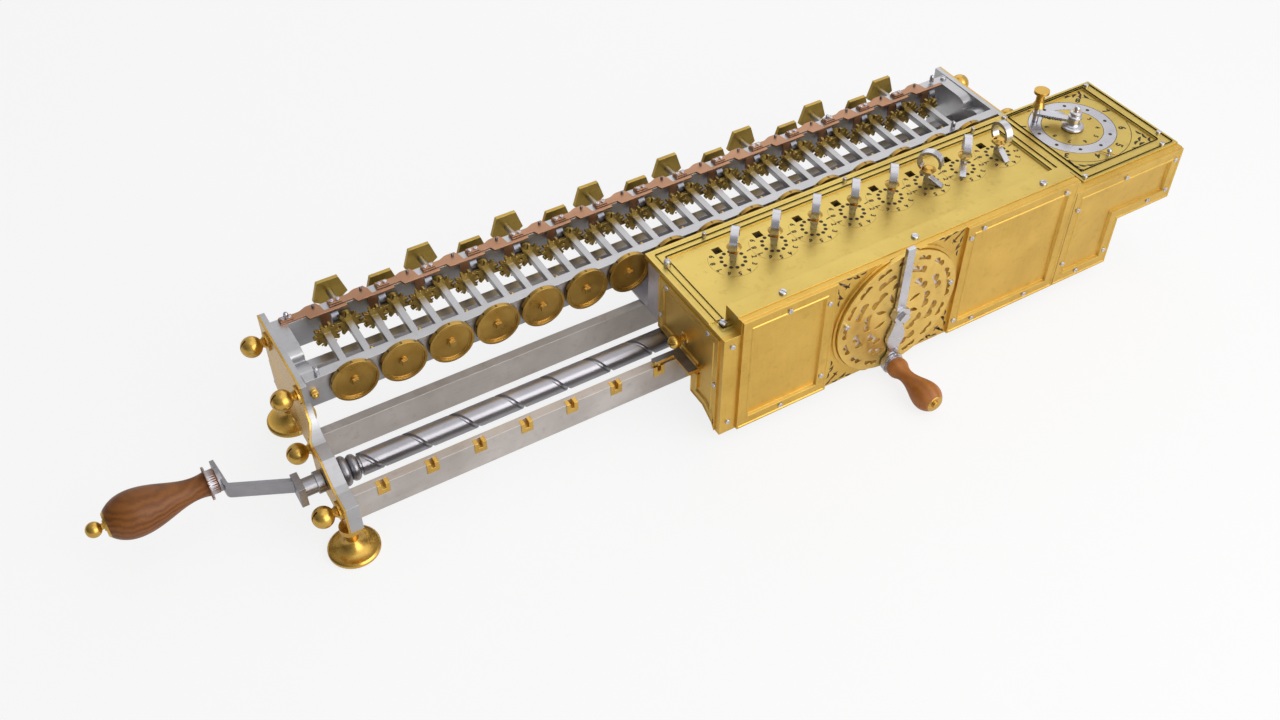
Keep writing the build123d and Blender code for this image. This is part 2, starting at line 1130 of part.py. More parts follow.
def top_plate():
    front = panel_thickness + backing_thickness
    plate = block(
        along(0),
        along(carriage_length),
        back(front),
        back(carriage_depth),
        carriage_top - top_thickness,
        carriage_top,
    )
    plate += rim_frame(
        0, box_left, ledge_depth, carriage_depth, (rim_width, rim_width, 0, rim_width)
    )
    plate += rim_frame(
        box_left, carriage_length, front, carriage_depth, box_rim_widths
    )
    low = carriage_top - top_thickness - overrun
    high = carriage_top + overrun
    for x in knob_xs():
        plate -= rod_z(knob_spindle_radius + run_gap, low, high, x, knob_y)
        window_x = x + digit_window_x
        window_y = knob_y + digit_window_y
        half = digit_window / 2
        plate -= block(
            window_x - half, window_x + half, window_y - half, window_y + half, low, high
        )
    annulus = Circle(dial_outer + dial_gap) - Circle(dial_inner - dial_gap)
    plate -= Pos(dial_x, dial_y, 0) * prism_z(annulus, low, high)
    plate -= rod_z(dial_spindle_radius + run_gap, low, high, dial_x, dial_y)
    return plate


def side_panels():
    front = back(panel_thickness + backing_thickness)
    heel = back(side_heel[0])
    top = carriage_top - top_thickness
    curl = Spline(
        (front, carriage_bottom),
        (back(side_curl[0]), side_curl[1]),
        (back(side_toe[0]), side_toe[1]),
        (heel, side_heel[1]),
    )
    rest = Polyline(
        (heel, side_heel[1]),
        (heel, side_floor),
        (back(side_rear), side_floor),
        (back(side_rear), top),
        (front, top),
        (front, carriage_bottom),
    )
    left = prism_x(
        make_face(Curve() + [curl, rest]), along(0), along(side_thickness)
    )
    gusset = polygon(
        (
            (latch_y, latch_z),
            (gusset_rear, latch_z),
            (latch_y, gusset_low),
        )
    )
    left += prism_x(gusset, along(-gusset_thickness), along(0))
    left -= rod_x(
        latch_pin + run_gap,
        along(-overrun),
        along(side_thickness + overrun),
        latch_y,
        rail_top + latch_rise,
    )
    lower = block(
        along(body_length - side_thickness),
        along(body_length),
        front,
        heel,
        carriage_bottom,
        overhang_bottom,
    )
    end = block(
        along(carriage_length - side_thickness),
        along(carriage_length),
        front,
        back(carriage_depth),
        overhang_bottom,
        top,
    )
    rear = block(
        along(inner_right),
        along(carriage_length - side_thickness),
        back(carriage_depth - side_thickness),
        back(carriage_depth),
        overhang_bottom,
        top,
    )
    return Compound(children=[left, lower, end, rear])


def shoe(x0, x1, front, width):
    return block(
        x0,
        x1,
        front - shoe_overhang,
        front + width + shoe_overhang,
        rail_top + slide_gap,
        rail_top + slide_gap + shoe_height,
    )


def nut_block(x0, x1):
    nut = block(
        x0,
        x1,
        screw_y - nut_width / 2,
        screw_y + nut_width / 2,
        screw_z - nut_drop,
        rail_top + slide_gap + shoe_height,
    )
    return nut - rod_x(
        screw_radius + pass_gap, x0 - overrun, x1 + overrun, screw_y, screw_z
    )


def drum_bearing(x0, x1, front, low, high):
    plate = block(x0, x1, back(front), back(front + bearing_thickness), low, high)
    for x in drum_xs():
        plate -= rod_y(
            drum_arbor_radius + run_gap,
            back(front - overrun),
            back(front + bearing_thickness + overrun),
            x,
            drum_axis,
        )
    return plate


def backing_plate():
    front = back(panel_thickness)
    rear = back(panel_thickness + backing_thickness)
    plate = block(
        along(ledge_left),
        along(ledge_right),
        front,
        rear,
        carriage_bottom + backing_thickness,
        panel_top - pass_gap,
    )
    return plate - rod_y(
        crank_shaft_radius + run_gap, front - overrun, rear + overrun, disc_x, disc_axis
    )


def cheek(x):
    rear = back(rear_bearing_front + bearing_thickness)
    top = carriage_top - top_thickness
    front = back(panel_thickness + backing_thickness)
    side = block(x, x + side_thickness, front, back(side_heel[0]), bearing_low, top)
    return side + block(
        x, x + side_thickness, back(side_heel[0]), rear, rail_top + slide_gap, top
    )


def box_deck(low):
    deck = block(
        along(inner_right),
        along(carriage_length - side_thickness),
        back(panel_thickness + backing_thickness),
        back(carriage_depth - side_thickness),
        low,
        low + deck_thickness,
    )
    return deck - rod_z(
        dial_spindle_radius + run_gap,
        low - overrun,
        low + deck_thickness + overrun,
        dial_x,
        dial_y,
    )


def inner_frame():
    top = carriage_top - top_thickness
    floor = rail_top + slide_gap
    left = along(side_thickness)
    right = along(inner_right)
    inside = (left + side_thickness, right - side_thickness)
    floor_top = floor + floor_thickness
    rear = rear_bearing_front + bearing_thickness
    plates = [
        backing_plate(),
        cheek(left),
        cheek(right - side_thickness),
        drum_bearing(*inside, bearing_front, bearing_low, top),
        drum_bearing(*inside, rear_bearing_front, floor, top),
        block(left, right, back(rear), back(floor_rear), floor, floor_top),
        drum_bearing(left, right, tail_bearing_front, floor_top, tail_bearing_top),
        nut_block(inside[1] - shoe_length, inside[1]),
        box_deck(overhang_bottom),
        box_deck(top - deck_thickness),
    ]
    for x in (inside[0], inside[1] - shoe_length):
        plates.append(shoe(x, x + shoe_length, front_rail_front, rail_width))
    return Compound(children=plates)


# Crank side


def leaf(inner, outer, half, turn):
    middle = (inner + outer) / 2
    upper = ThreePointArc((inner, 0), (middle, half), (outer, 0))
    lower = ThreePointArc((outer, 0), (middle, -half * curve_share[0]), (inner, 0))
    return Rot(0, 0, turn) * make_face(Curve() + [upper, lower])


def polar(radius, turn):
    angle = math.radians(turn)
    return (radius * math.cos(angle), radius * math.sin(angle))


def wing(radius, spread, height, turn):
    left = polar(radius, spread)
    right = polar(radius, -spread)
    cusp = polar(radius + height * curve_share[0], 0)
    outline = [
        ThreePointArc(left, polar(radius + height, spread / 2), cusp),
        ThreePointArc(cusp, polar(radius + height, -spread / 2), right),
        ThreePointArc(right, polar(radius, 0), left),
    ]
    return Rot(0, 0, turn) * make_face(Curve() + outline)


def pierced_wheel():
    face = Circle(disc_radius) - Circle(disc_bore + run_gap)
    step = 360 / disc_leaves
    for index in range(disc_leaves):
        turn = index * step
        face -= leaf(leaf_inner, leaf_outer, leaf_half, turn + step / 2)
        for ring, wing_radius in enumerate(wing_radii):
            face -= wing(
                wing_radius,
                wing_spreads[ring],
                wing_heights[ring],
                turn + ring * step / 2,
            )
        for part in (0, step / 2):
            face -= wing(
                rim_wing_radius, rim_wing_spread, rim_wing_height, turn + part
            )
    front = back(-disc_gap - disc_thickness)
    return Pos(disc_x, 0, disc_axis) * prism_y(face, front, back(-disc_gap))


def crank():
    rear = back(-disc_gap - disc_thickness - crank_arm_gap)
    front = rear - crank_arm_thickness
    low = -crank_throw + crank_boss_radius / 2
    waist, bulge, low_waist = [-crank_throw * share for share in crank_low_share]
    side = Spline(
        (crank_hub_half, 0),
        (crank_waist_half, waist),
        (crank_bulge_half, bulge),
        (crank_low_waist_half, low_waist),
        (crank_boss_radius, low),
    )
    other = mirror(side, Plane.YZ)
    lower = make_face(
        Curve()
        + [
            side,
            other,
            Line((crank_hub_half, 0), (-crank_hub_half, 0)),
            Line((crank_boss_radius, low), (-crank_boss_radius, low)),
        ]
    )
    upper = polygon(
        (
            (crank_root_half, 0),
            (crank_tip_half, crank_tip),
            (-crank_tip_half, crank_tip),
            (-crank_root_half, 0),
        )
    )
    boss = Pos(0, -crank_throw) * Circle(crank_boss_radius)
    hub = RegularPolygon(crank_hub_half, 8)
    arm = prism_y(upper + lower + boss + hub, front, rear)
    arm += prism_y(RegularPolygon(crank_hub_half, 8), front - crank_hub_height, front)
    square = Rot(0, 0, 45) * Rectangle(crank_square, crank_square)
    hub_front = front - crank_hub_height
    arm += prism_y(square, hub_front - crank_square_height, hub_front)
    arm = Pos(disc_x, 0, disc_axis) * arm
    arm += rod_y(crank_shaft_radius, rear, crank_shaft_rear, disc_x, disc_axis)
    grip_end = front - grip_gap - grip_cap_length - grip_length
    arm += rod_y(
        crank_pin_radius,
        grip_end,
        front,
        disc_x,
        disc_axis - crank_throw,
    )
    return arm


def crank_grip():
    bore = crank_pin_radius + run_gap
    cap = turned_points(
        (bore, 0),
        (grip_cap_radius, 0),
        (grip_cap_radius, grip_cap_length),
        (bore, grip_cap_length),
    )
    low = grip_cap_length
    stations = [low + grip_length * share for share in grip_share]
    wood = turned(
        Line((bore, low), (grip_neck_radius, low)),
        Spline(
            (grip_neck_radius, low),
            (grip_bead_radius, stations[0]),
            (grip_bead_radius, stations[1]),
            (grip_neck_radius, stations[2]),
            (grip_neck_radius, stations[3]),
            (grip_bulb_radius, stations[4]),
            (grip_neck_radius, low + grip_length),
        ),
        Line((grip_neck_radius, low + grip_length), (bore, low + grip_length)),
        Line((bore, low + grip_length), (bore, low)),
    )
    button = rod_z(
        grip_button_radius,
        low + grip_length,
        low + grip_length + grip_button_length,
        0,
        0,
    )
    rear = back(-disc_gap - disc_thickness - crank_arm_gap - crank_arm_thickness)
    place = Pos(disc_x, rear - grip_gap, disc_axis - crank_throw) * Rot(90, 0, 0)
    return Compound(children=[place * cap, place * wood, place * button])


# Carriage screw


def screw_body():
    half = frame_half - pass_gap
    length = 2 * half - screw_plain
    gap = screw_groove_turn / 2
    floor = screw_radius - screw_groove
    ridge = CenterArc((0, 0), screw_radius, gap, 360 - screw_groove_turn)
    inner = [polar(floor, turn) for turn in (-gap / 2, gap / 2)]
    edge = Polyline(ridge @ 1, *inner, ridge @ 0)
    section = Rot(0, 0, 360 * screw_plain / screw_lead) * make_face(
        Curve() + [ridge, edge]
    )
    body = Solid.extrude_linear_with_rotation(
        section.face(), (0, 0, 0), (0, 0, length), 360 * length / screw_lead
    )
    start = -half + screw_plain
    body = Pos(start, screw_y, screw_z) * Rot(0, 90, 0) * body
    body += rod_x(floor, -half, start, screw_y, screw_z)
    x = -half
    for radius in screw_bead_radii:
        around = radius - screw_bead_width / 2
        middle = Pos(x + screw_bead_width / 2, screw_y, screw_z)
        body += middle * Rot(0, 90, 0) * Torus(around, screw_bead_width / 2)
        body += rod_x(around, x, x + screw_bead_width, screw_y, screw_z)
        x += screw_bead_width
    return body


def worm_arm():
    x0 = worm_hub_end
    half = worm_arm_thickness / 2
    y0 = screw_y + worm_boss_width / 4
    x1 = x0 - worm_arm_run
    y1 = y0 + worm_arm_rise
    path = FilletPolyline(
        (x0 - half, screw_y - worm_boss_width / 4),
        (x0 - half, y0),
        (x1, y1),
        (worm_pin_x, y1 + worm_arm_end),
        radius=worm_arm_thickness,
    )
    strip = trace(path, line_width=worm_arm_thickness)
    high = worm_arm_height / 2
    arm = prism_z(strip, screw_z - high, screw_z + high)
    arm += rod_x(
        worm_eye_radius,
        worm_pin_x - half,
        worm_pin_x + half,
        screw_y + worm_throw,
        screw_z,
    )
    boss = worm_boss_width / 2
    return arm + block(
        x0 - worm_boss_length,
        x0,
        screw_y - boss,
        screw_y + boss,
        screw_z - boss,
        screw_z + boss,
    )


def worm_shaft():
    half = frame_half - pass_gap
    outside = frame_outside + pass_gap
    collar_end = outside + hub_collar_length
    button_end = outside + end_button
    shaft = screw_body()
    shaft += rod_x(journal_radius, -outside, -half, screw_y, screw_z)
    shaft += rod_x(journal_radius, half, outside, screw_y, screw_z)
    shaft += rod_x(hub_radius, worm_hub_end, -outside, screw_y, screw_z)
    shaft += rod_x(hub_collar_radius, -collar_end, -outside, screw_y, screw_z)
    shaft += rod_x(hub_collar_radius, outside, button_end, screw_y, screw_z)
    shaft += worm_arm()
    return shaft + rod_x(
        worm_pin_radius,
        worm_grip_x - worm_grip_length + pass_gap,
        worm_pin_x,
        screw_y + worm_throw,
        screw_z,
    )


def worm_grip():
    bore = worm_pin_radius + run_gap
    length = worm_grip_length
    low = worm_ring_place + worm_ring_thickness
    stations = [between(low, length, share) for share in worm_grip_share]
    neck = turned_points(
        (bore, 0), (worm_grip_bead, 0), (worm_grip_bead, worm_ring_place), (bore, worm_ring_place)
    )
    ring = turned_points(
        (bore, worm_ring_place),
        (worm_ring_radius, worm_ring_place),
        (worm_ring_radius, low),
        (bore, low),
    )
    wood = turned(
        Line((bore, low), (worm_grip_bead, low)),
        Spline(
            (worm_grip_bead, low),
            (worm_grip_neck, stations[0]),
            (between(worm_grip_neck, worm_grip_radius, curve_share[1]), stations[1]),
            (worm_grip_radius, stations[2]),
            (worm_grip_neck, length),
        ),
        Line((worm_grip_neck, length), (bore, length)),
        Line((bore, length), (bore, low)),
    )
    centre = length + worm_ball_gap + worm_ball_radius
    under = centre - math.sqrt(worm_ball_radius**2 - worm_ball_neck**2)
    ball = turned(
        Polyline(
            (0, centre + worm_ball_radius),
            (0, length),
            (worm_ball_flange, length),
            (worm_ball_flange, length + worm_ball_rim),
            (worm_ball_neck, length + worm_ball_rim),
            (worm_ball_neck, under),
        ),
        ThreePointArc(
            (worm_ball_neck, under),
            (worm_ball_radius, centre),
            (0, centre + worm_ball_radius),
        ),
    )
    place = Pos(worm_grip_x, screw_y + worm_throw, screw_z) * Rot(0, -90, 0)
    return Compound(children=[place * piece for piece in (neck, ring, wood, ball)])


# Setting side


def setting_knob(index):
    top = carriage_top
    spindle = rod_z(
        knob_spindle_radius, top - knob_drop, top + knob_post_height, 0, 0
    )
    spindle += prism_z(
        RegularPolygon(knob_pinion_radius, 8),
        top - knob_drop,
        top - knob_drop + knob_pinion_length,
    )
    half = knob_pointer_width / 2
    pointer = polygon(
        (
            (-half, top + knob_pointer_lift),
            (knob_pointer_reach, top + knob_pointer_lift),
            (half, top + knob_pointer_lift + knob_pointer_height),
            (-half, top + knob_pointer_lift + knob_pointer_height),
        )
    )
    spindle += prism_y(pointer, -half, half)
    centre = top + hook_centre
    inside = hook_radius - hook_thickness
    outer = CenterArc((0, centre), hook_radius, hook_start, hook_sweep)
    inner = CenterArc((0, centre), inside, hook_start, hook_sweep)
    band = make_face(
        Curve() + [outer, inner, Line(outer @ 0, inner @ 0), Line(outer @ 1, inner @ 1)]
    )
    hook = prism_y(band, -hook_width / 2, hook_width / 2)
    end = outer @ 1
    hook += block(
        end.X,
        knob_spindle_radius,
        -hook_width / 2,
        hook_width / 2,
        top + knob_post_height,
        top + knob_post_height + hook_thickness,
    )
    nut_low = top + knob_post_height + hook_thickness
    nut = turned_points(
        (0, nut_low),
        (knob_nut_radius - hook_thickness / 2, nut_low),
        (knob_nut_radius, nut_low + knob_nut_height / 2),
        (knob_nut_radius / 2, nut_low + knob_nut_height),
        (0, nut_low + knob_nut_height),
    )
    turn = knob_zero_turn - knob_step * knob_digits[index]
    place = Pos(knob_xs()[index], knob_y, 0) * Rot(0, 0, turn)
    return Compound(children=[place * (spindle + hook), place * nut])


def drum_body():
    length = drum_length
    body = rod_y(drum_core, 0, length, 0, 0)
    pitch = 360 / drum_tooth_slots
    half = math.radians(pitch * drum_tooth_share / 2)
    for tooth in range(drum_teeth):
        reach = length * (tooth + 1) / drum_teeth
        root = drum_core * math.cos(half)
        face = polygon(
            (
                (root * curve_share[1], -root * math.sin(half)),
                (drum_radius, -root * math.sin(half)),
                (drum_radius, root * math.sin(half)),
                (root * curve_share[1], root * math.sin(half)),
            )
        )
        body += prism_y(Rot(0, 0, tooth * pitch) * face, length - reach, length)
    return body


def stepped_drum(index):
    phase = 0 if index % 2 == 0 else 180 / gear_teeth
    drum = Pos(0, back(drum_start), 0) * drum_body()
    drum += rod_y(
        drum_arbor_radius, back(drum_arbor_front), back(drum_arbor_rear), 0, 0
    )
    drum += prism_y(
        toothed_face(
            gear_teeth, gear_tip, gear_root, gear_tip_share, gear_root_share, phase
        ),
        back(gear_front),
        back(gear_front + gear_width),
    )
    drum += prism_y(
        toothed_face(
            rear_teeth, rear_wheel_tip, rear_wheel_root, gear_tip_share, gear_root_share, 0
        ),
        back(rear_wheel_front),
        back(rear_wheel_front + rear_wheel_width),
    )
    return Pos(drum_xs()[index], 0, drum_axis) * drum


def multiplier_ring():
    face = Circle(dial_outer) - Circle(dial_inner)
    middle = (dial_outer + dial_inner) / 2
    for index in range(hole_count):
        turn = dial_lever_turn + index * 360 / hole_count
        face -= Rot(0, 0, turn) * Pos(middle, 0) * Circle(dial_hole)
    ring = prism_z(face, carriage_top - top_thickness + slide_gap, carriage_top)
    return Pos(dial_x, dial_y, 0) * ring


def multiplier_lever():
    low = carriage_top - top_thickness - deck_thickness
    top = carriage_top
    base = top + slide_gap
    neck = dial_spindle_radius
    bead = dial_bead_radius
    lever_low = top + dial_lever_lift
    stack = turned_points(
        (0, low),
        (neck, low),
        (neck, base),
        (dial_base_radius, base),
        (dial_base_radius, base + dial_base_height),
        (neck, base + dial_base_height),
        (neck, lever_low),
        (bead, lever_low),
        (bead, lever_low + dial_lever_thickness),
        (neck, lever_low + dial_lever_thickness),
        (neck, top + dial_stack_height),
        (0, top + dial_stack_height),
    )
    middle = (dial_outer + dial_inner) / 2
    half = dial_lever_width / 2
    lever = block(0, middle, -half, half, lever_low, lever_low + dial_lever_thickness)
    lever += rod_z(half, lever_low, lever_low + dial_lever_thickness, middle, 0)
    post_top = top + dial_post_height
    post = rod_z(dial_post_radius, top + dial_post_lift, post_top, middle, 0)
    steel = stack + lever + post
    knob = turned_points(
        (0, post_top),
        (dial_knob_foot, post_top),
        (dial_knob_waist, between(post_top, post_top + dial_knob_height, curve_share[0])),
        (dial_knob_waist, between(post_top, post_top + dial_knob_height, curve_share[1])),
        (dial_knob_radius, post_top + dial_knob_height - dial_lever_thickness),
        (dial_knob_radius, post_top + dial_knob_height),
        (0, post_top + dial_knob_height),
    )
    knob = Pos(middle, 0, 0) * knob
    place = Pos(dial_x, dial_y, 0) * Rot(0, 0, dial_lever_turn)
    return Compound(children=[place * steel, place * knob])


def latch():
    lever_low = rail_top + latch_rise
    near = along(-gusset_thickness - pass_gap)
    rear = front_rail_front + insert_depth
    lever = block(
        latch_x - latch_width / 2,
        near,
        front_rail_front - insert_proud,
        rear,
        lever_low,
        lever_low + latch_thickness,
    )
    lever += block(
        near - latch_width,
        near,
        latch_y - latch_pin,
        rear,
        lever_low,
        lever_low + latch_thickness,
    )
    lever += block(
        latch_x - latch_tooth / 2,
        latch_x + latch_tooth / 2,
        front_rail_front,
        rear - pass_gap,
        rail_top + latch_gap,
        lever_low,
    )
    lever += rod_x(
        latch_pin,
        near - latch_width,
        along(side_thickness - pass_gap),
        latch_y,
        lever_low,
    )
    return lever


def nodes():
    parts = {
        "left_end_plate": mirror(end_plate(left_profile()), Plane.YZ),
        "right_end_plate": end_plate(right_profile()),
        "face_plates": face_plates(),
        "front_rail": front_rail(),
        "rear_rail": rear_rail(),
        "rail_inserts": rail_inserts(),
        "feet": feet(),
        "ball_head_screws": ball_head_screws(),
        "result_bars": result_bars(),
        "wave_blocks": wave_blocks(),
        "carry_shafts": carry_shafts(),
        "carry_wheels": carry_wheels(),
        "carry_plates": carry_plates(),
        "pentagon_discs": pentagon_discs(),
        "front_cover": front_cover(),
        "fretwork_panel": fretwork_panel(),
        "front_ledge": front_ledge(),
        "top_plate": top_plate(),
        "side_panels": side_panels(),
        "inner_frame": inner_frame(),
        "latch": latch(),
        "pierced_wheel": pierced_wheel(),
        "crank": crank(),
        "crank_grip": crank_grip(),
        "worm_shaft": worm_shaft(),
        "worm_grip": worm_grip(),
        "multiplier_ring": multiplier_ring(),
        "multiplier_lever": multiplier_lever(),
    }
    for index, x in enumerate(wheel_xs()):
        parts[f"result_wheel_{index + 1:02d}"] = result_wheel(x)
    for index in range(digit_count):
        parts[f"setting_knob_{index + 1}"] = setting_knob(index)
        parts[f"stepped_drum_{index + 1}"] = stepped_drum(index)
    return parts


os.makedirs("parts", exist_ok=True)
home = Pos(front_foot_x, -front_foot_y, 0)
for name, shape in nodes().items():
    export_step(home * shape, f"parts/{name}.step")
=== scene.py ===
import math
import bpy
import bmesh
from mathutils import Matrix, Vector


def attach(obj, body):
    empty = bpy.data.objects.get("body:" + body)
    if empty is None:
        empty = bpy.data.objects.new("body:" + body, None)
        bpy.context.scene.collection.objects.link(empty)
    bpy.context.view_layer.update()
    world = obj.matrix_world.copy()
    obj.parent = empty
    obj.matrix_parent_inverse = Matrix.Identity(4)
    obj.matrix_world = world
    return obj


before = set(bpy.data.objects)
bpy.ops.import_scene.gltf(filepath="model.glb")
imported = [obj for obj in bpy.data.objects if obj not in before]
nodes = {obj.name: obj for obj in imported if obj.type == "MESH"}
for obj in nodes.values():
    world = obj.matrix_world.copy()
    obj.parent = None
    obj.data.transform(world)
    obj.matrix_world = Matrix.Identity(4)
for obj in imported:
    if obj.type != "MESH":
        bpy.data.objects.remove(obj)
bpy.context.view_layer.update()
print("loaded", len(nodes), "nodes")

# places below are in millimetres from the middle of the machine's frame, and z is from the table
machine = {
    "shift": (310.5, 66.3, 0),  # from the middle of the frame to the scene's origin
    "pitch": 36,  # from one disc, dial or rail notch to the next
    "discs": 16, "firstDisc": -270, "discAxis": 88.3,
    "dials": 8, "firstDial": 9.1, "dialY": -44.8, "boxDial": (337.4, -49.0),
    "figures": 10, "figureTurn": 36,  # degrees
    "deckTop": 104, "rimTop": 105.2, "ledgeTop": 116.2, "frontFace": -113.5,
}
toScene = Matrix.Scale(0.001, 4) @ Matrix.Translation(machine["shift"])
discs = [machine["firstDisc"] + machine["pitch"] * index for index in range(machine["discs"])]
dials = [machine["firstDial"] + machine["pitch"] * index for index in range(machine["dials"])]


def at(x, y, z):
    return toScene @ Vector((x, y, z))


# shader maths: an expression on sockets adds its own nodes
class Socket:
    def __init__(self, finish, out):
        self.finish = finish
        self.out = out

    def maths(self, operation, *values):
        return self.finish.node("ShaderNodeMath", {"operation": operation}, dict(enumerate(values)))

    def __add__(self, other):
        return self.maths("ADD", self, other)

    def __radd__(self, other):
        return self.maths("ADD", other, self)

    def __sub__(self, other):
        return self.maths("SUBTRACT", self, other)

    def __rsub__(self, other):
        return self.maths("SUBTRACT", other, self)

    def __mul__(self, other):
        return self.maths("MULTIPLY", self, other)

    def __rmul__(self, other):
        return self.maths("MULTIPLY", other, self)


# the node tree of a material, or of the world
class Finish:
    def __init__(self, owner, surface="ShaderNodeOutputMaterial"):
        owner.use_nodes = True
        self.owner = owner
        self.nodes = owner.node_tree.nodes
        self.links = owner.node_tree.links
        self.nodes.clear()
        self.surface = self.nodes.new(surface)

    def node(self, kind, settings=None, inputs=None, output=0):
        made = self.nodes.new(kind)
        for key, value in (settings or {}).items():
            setattr(made, key, value)
        for key, value in (inputs or {}).items():
            if isinstance(value, Socket):
                self.links.new(value.out, made.inputs[key])
            else:
                made.inputs[key].default_value = value
        return Socket(self, made.outputs[output])

    def place(self, scale=(1, 1, 1), turn=(0, 0, 0)):
        coords = self.node("ShaderNodeTexCoord", output="Object")
        return self.node("ShaderNodeMapping", None, {"Vector": coords, "Rotation": turn, "Scale": scale})

    def noise(self, vector, scale, detail=3, rough=0.6, output=0):
        inputs = {"Vector": vector, "Scale": scale, "Detail": detail, "Roughness": rough}
        return self.node("ShaderNodeTexNoise", None, inputs, output)

    def spread(self, value, low, high, toLow=0.0, toHigh=1.0):
        return self.node("ShaderNodeMapRange", {"clamp": True}, {0: value, 1: low, 2: high, 3: toLow, 4: toHigh})

    def mix(self, factor, first, second):
        one, two = [tone if isinstance(tone, Socket) else (*tone, 1) for tone in (first, second)]
        return self.node("ShaderNodeMix", {"data_type": "RGBA"}, {0: factor, 6: one, 7: two}, 2)

    def edges(self, radius, worn=0.75, whole=0.995):
        # the rounded normal, and the wear where it departs from the true one
        rounded = self.node("ShaderNodeBevel", {"samples": 4}, {"Radius": radius})
        flat = self.node("ShaderNodeNewGeometry", output="True Normal")
        agree = self.node("ShaderNodeVectorMath", {"operation": "DOT_PRODUCT"}, {0: rounded, 1: flat}, 1)
        return rounded, self.spread(agree, worn, whole, 1.0, 0.0)

    def finish(self, shader):
        self.links.new(shader.out, self.surface.inputs["Surface"])
        return self.owner


# metals: cloudy tarnish, dark spots, brush marks one way and bright worn edges
metalBase = {
    "cloudScale": 26, "cloudDetail": 5, "cloudRange": (0.34, 0.68), "dullRange": (0.4, 0.7), "cloudRough": 0.08,
    "spotScale": 150, "spotRange": (0.56, 0.76), "spots": 0.3,
    "speckScale": 420, "speckRange": (0.6, 0.8), "specks": 0.15,
    "streaks": (40, 900, 900), "streakRange": (0.3, 0.7), "streakRough": (-0.05, 0.07), "streak": 0.14,
    "edge": 0.0004, "wear": 0.45, "wearRough": 0.06, "metallic": 0.94,
    "streakRelief": 0.5, "spotRelief": 0.2, "speckRelief": 0.2, "bump": 0.07, "bumpDepth": 0.0003,
}
brass = {"bright": (0.90, 0.66, 0.22), "tarnish": (0.36, 0.20, 0.04)}
metals = {
    "deckBrass": {
        **brass, "dark": (0.57, 0.41, 0.105), "light": (0.70, 0.53, 0.15),
        "rough": 0.36, "streaks": (30, 700, 700), "cloudScale": 12,
    },
    "wheelBrass": {
        **brass, "dark": (0.70, 0.46, 0.115), "light": (0.84, 0.585, 0.165),
        "rough": 0.36, "streaks": (300, 700, 60),
    },
    "frontBrass": {
        **brass, "dark": (0.61, 0.375, 0.072), "light": (0.73, 0.475, 0.105),
        "rough": 0.35, "streaks": (500, 700, 60),
    },
    "turnedBrass": {
        **brass, "dark": (0.55, 0.315, 0.060), "light": (0.72, 0.445, 0.100),
        "rough": 0.24, "streaks": (160, 160, 700), "spots": 0.2,
    },
    "discBrass": {
        **brass, "dark": (0.36, 0.20, 0.036), "light": (0.50, 0.30, 0.060),
        "rough": 0.30, "streaks": (90, 600, 90),
    },
    "gearBrass": {
        "dark": (0.24, 0.155, 0.030), "light": (0.38, 0.25, 0.055),
        "bright": (0.74, 0.56, 0.22), "tarnish": (0.13, 0.08, 0.02),
        "rough": 0.36, "wear": 0.7,
    },
    "vaneBrass": {
        "dark": (0.34, 0.215, 0.038), "light": (0.52, 0.345, 0.070),
        "bright": (0.78, 0.60, 0.24), "tarnish": (0.20, 0.13, 0.035),
        "rough": 0.34, "cloudScale": 45,
    },
    "copper": {
        "dark": (0.36, 0.185, 0.105), "light": (0.48, 0.265, 0.160),
        "bright": (0.74, 0.48, 0.33), "tarnish": (0.26, 0.115, 0.06),
        "rough": 0.38, "streaks": (40, 700, 700),
    },
    "barSteel": {
        "dark": (0.42, 0.415, 0.425), "light": (0.55, 0.545, 0.56),
        "bright": (0.78, 0.78, 0.81), "tarnish": (0.29, 0.25, 0.22),
        "rough": 0.36, "streaks": (15, 800, 800), "cloudScale": 18, "specks": 0.08,
    },
    "railSteel": {
        "dark": (0.42, 0.375, 0.34), "light": (0.62, 0.57, 0.54),
        "bright": (0.80, 0.77, 0.76), "tarnish": (0.27, 0.20, 0.15),
        "rough": 0.38, "streaks": (12, 700, 700), "cloudScale": 16,
    },
    "screwSteel": {
        "dark": (0.30, 0.29, 0.31), "light": (0.38, 0.37, 0.395),
        "bright": (0.66, 0.65, 0.68), "tarnish": (0.22, 0.195, 0.195),
        "rough": 0.30, "streaks": (15, 300, 300), "streak": 0.07,
        "spots": 0.10, "specks": 0.0, "cloudRough": 0.04, "bump": 0.03,
    },
    "polishedSteel": {
        "dark": (0.53, 0.52, 0.56), "light": (0.63, 0.62, 0.67),
        "bright": (0.86, 0.86, 0.90), "tarnish": (0.40, 0.36, 0.37),
        "rough": 0.27, "streaks": (20, 260, 260), "streak": 0.05,
        "spots": 0.08, "specks": 0.0, "cloudRough": 0.03, "bump": 0.012,
    },
    "blueSteel": {
        "dark": (0.12, 0.12, 0.14), "light": (0.25, 0.25, 0.29),
        "bright": (0.55, 0.55, 0.60), "tarnish": (0.07, 0.055, 0.05),
        "rough": 0.34, "streaks": (60, 600, 600),
    },
    # real steel of the backing and inner frame, painted paler and less metallic than the other steels: painted light
    # against the shade behind the pierced wheel
    "backSteel": {
        "dark": (0.62, 0.58, 0.62), "light": (0.74, 0.70, 0.75),
        "bright": (0.82, 0.80, 0.84), "tarnish": (0.40, 0.35, 0.34),
        "rough": 0.46, "streaks": (500, 700, 60), "metallic": 0.45,
    },
}


